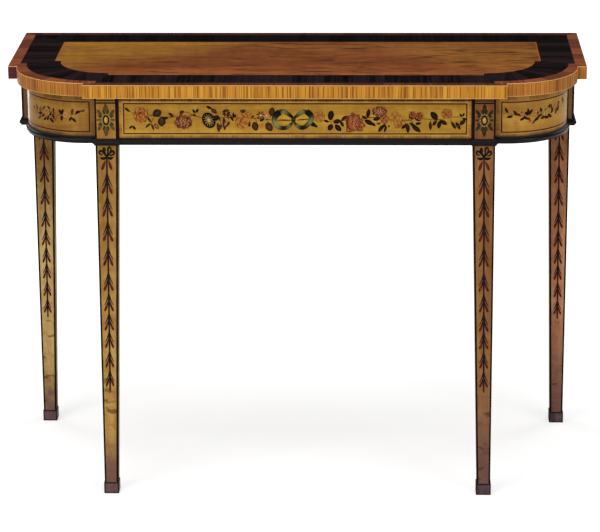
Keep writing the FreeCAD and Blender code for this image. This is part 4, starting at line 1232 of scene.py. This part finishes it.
HUSK_SHRINK = 0.022
# A husk's side strokes from its throat, as (across, up, width); their ends are as wide on every husk.
HUSK_STROKES = (((0.8, 16, 2.4), (4.6, 1, 2.6), (10.4, -12, 1.4)),
                ((1.4, -1, 2.6), (4.4, -9, 2.4), (6.4, -14, 2.2)))
BACK_CHAIN = 0.965
BACK_HUSK = 0.96


def paint_husks(side, sizes, front, end):
    """A bow with a chain of bellflower husks hung from it, down one leg."""
    name = ("husk_chain_front_" if front else "husk_chain_back_") + end
    brush = Brush(name, "leg_satinwood", on_leg(side, sizes, front))
    fine = 1.0 if front else BACK_HUSK
    for loop in LEG_BOW:
        brush.line(loop, BOW_BLACK, LEG_BOW_WIDTH)
    brush.mark("round", 0, BOW_KNOT, 6.0, 6.4, 0.0, BOW_BLACK)
    above = BOW_KNOT
    tips = [tip if front else LEG_TOP / MM - BACK_CHAIN * (LEG_TOP / MM - tip) for tip in HUSK_TIPS]
    for i, tip in enumerate(tips):
        k = fine * (1.0 - HUSK_SHRINK * i)
        throat = tip + 25 * k
        stem = [(0, above, 3.2), (0, tip + 8, 3.2), (0, tip - 3, 3.4)]
        if i:
            stem = [(0, above - 1, 3.4 * fine), (0, (above + throat) / 2, 3.8 * k), (0, throat + 6, 5.2 * k),
                    (0, throat - 4 * k, 5.4 * k), (0, throat - 14 * k, 3.6 * fine), (0, tip - 3, 3.4 * fine)]
        brush.line(stem, HUSK_STEM)
        for way in (-1, 1):
            lean = hand.uniform(-3, 3)
            for stroke in HUSK_STROKES if i else ():
                points = [(way * across * k, throat + up * k, width * k) for across, up, width in stroke]
                points[-1] = (*points[-1][:2], stroke[-1][2])
                brush.line(points, HUSK_STEM)
            brush.mark("drop", way * 6.4 * k, tip + 8 * k, 22 * k, 8.0 * k, 270 + way * (20 + lean), HUSK)
        above = tip
    brush.mark("drop", 0, tips[-1] - 5, 16 * fine, 5.4 * fine, 270, HUSK)
    brush.done()


def paint_table():
    paint_trail("painted_garland", on_flat(0.0, FRIEZE_FACE), GARLAND_STEMS, STEM_WIDTH,
                LEAF_COATS + len(GARLAND_STEMS), GARLAND_LEAVES, GARLAND_MARKS)
    paint_bow()
    paint_trail("painted_spray_left", on_curve(-1), [LEFT_STEM], 1.0, LEAF_COATS, LEFT_LEAVES, LEFT_MARKS)
    paint_trail("painted_spray_right", on_curve(1), [RIGHT_STEM], 1.0, LEAF_COATS, RIGHT_LEAVES, RIGHT_MARKS)
    for side, end, green in ((-1, "left", PATERA_GREEN), (1, "right", PATERA_DARK)):
        paint_patera(side, end, green)
        paint_husks(side, FRONT_LEG, True, end)
        paint_husks(side, BACK_LEG, False, end)


paint_table()


# The studio: a white floor, soft lamps and the camera.
FLOOR_SIZE = 80.0
FLOOR_GREY = (0.5, 0.5, 0.5, 1)
FLOOR_WHITE = (0.9, 2.6, 0.6, 1.0)
WHITE = (1, 1, 1, 1)
WORLD_STRENGTH = 0.07
WARM = (1.0, 0.98, 0.95)
TABLE_MIDDLE = (0.0, 0.0, 0.55)
CAMERA_PLACE = Vector((0.163, -5.648, 2.171))
CAMERA_YAW = math.radians(-1.63)
CAMERA_PITCH = math.radians(17.15)
CAMERA_ROLL = math.radians(-0.34)
FOCAL_PIXELS = 2804
PHOTO_WIDTH = 600
SENSOR = 36.0
VIEW_END = 200.0


def set_floor():
    """A floor that lies matt under the table and glows white to the eye, less so close to the table."""
    bpy.ops.mesh.primitive_plane_add(size=FLOOR_SIZE, location=(0, 0, 0))
    floor = bpy.context.object
    floor.name = "studio_floor"
    material, tree = new_material("studio_white")
    tree.nodes.remove(tree.nodes["Principled BSDF"])
    place = add(tree, "ShaderNodeTexCoord", {}, "Object")
    off = add(tree, "ShaderNodeVectorMath", {0: place}, "Value", operation="LENGTH")
    seen = [add(tree, "ShaderNodeLightPath", {}, ray)
            for ray in ("Is Camera Ray", "Is Glossy Ray", "Is Transmission Ray")]
    white = most(most(seen[0], seen[1]), seen[2]) * off.rise(*FLOOR_WHITE)
    matt = add(tree, "ShaderNodeBsdfDiffuse", {"Color": FLOOR_GREY})
    glow = add(tree, "ShaderNodeEmission", {"Color": WHITE, "Strength": white})
    surface = add(tree, "ShaderNodeAddShader", {0: matt, 1: glow})
    put(tree.nodes["Material Output"].inputs["Surface"], surface)
    floor.data.materials.append(material)
    floor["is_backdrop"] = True


def add_lamp(name, place, size, power, colour=(1, 1, 1), aim=TABLE_MIDDLE):
    lamp = bpy.data.lights.new(name, "AREA")
    lamp.size = size
    lamp.energy = power
    lamp.color = colour
    holder = bpy.data.objects.new(name, lamp)
    bpy.context.scene.collection.objects.link(holder)
    holder.location = place
    holder.rotation_euler = (Vector(aim) - Vector(place)).to_track_quat("-Z", "Y").to_euler()


def set_light():
    world = bpy.data.worlds.new("studio")
    world.use_nodes = True
    ground = world.node_tree.nodes["Background"].inputs
    put(ground["Color"], WHITE)
    put(ground["Strength"], WORLD_STRENGTH)
    bpy.context.scene.world = world
    add_lamp("key_left", (-3.4, -3.6, 3.0), 2.4, 100, WARM)
    add_lamp("fill_right", (3.6, -3.4, 1.8), 2.4, 92)
    add_lamp("front_left", (-1.5, -4.4, 1.5), 1.6, 50, WARM)
    add_lamp("overhead", (0.0, -0.8, 4.2), 3.0, 140)
    add_lamp("back_left", (-3.8, 3.4, 3.2), 2.0, 60)
    add_lamp("back_right", (3.8, 3.4, 3.2), 2.0, 60)
    add_lamp("low_left", (-1.35, 1.8, 0.4), 0.4, 4.0, aim=(-0.55, -0.1, 0.8))


def set_camera():
    data = bpy.data.cameras.new("photograph_view")
    data.sensor_width = SENSOR
    data.lens = FOCAL_PIXELS / PHOTO_WIDTH * SENSOR
    data.clip_end = VIEW_END
    camera = bpy.data.objects.new("photograph_view", data)
    bpy.context.scene.collection.objects.link(camera)
    tilted = Matrix.Rotation(math.pi / 2 - CAMERA_PITCH, 4, "X") @ Matrix.Rotation(CAMERA_ROLL, 4, "Z")
    camera.matrix_world = Matrix.Translation(CAMERA_PLACE) @ Matrix.Rotation(-CAMERA_YAW, 4, "Z") @ tilted
    bpy.context.scene.camera = camera


set_floor()
set_light()
set_camera()
bpy.context.scene.view_settings.view_transform = "Standard"

VISUAL_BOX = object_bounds()
boxes = {"cad": [list(corner) for corner in CAD_BOX], "visual": [list(corner) for corner in VISUAL_BOX]}
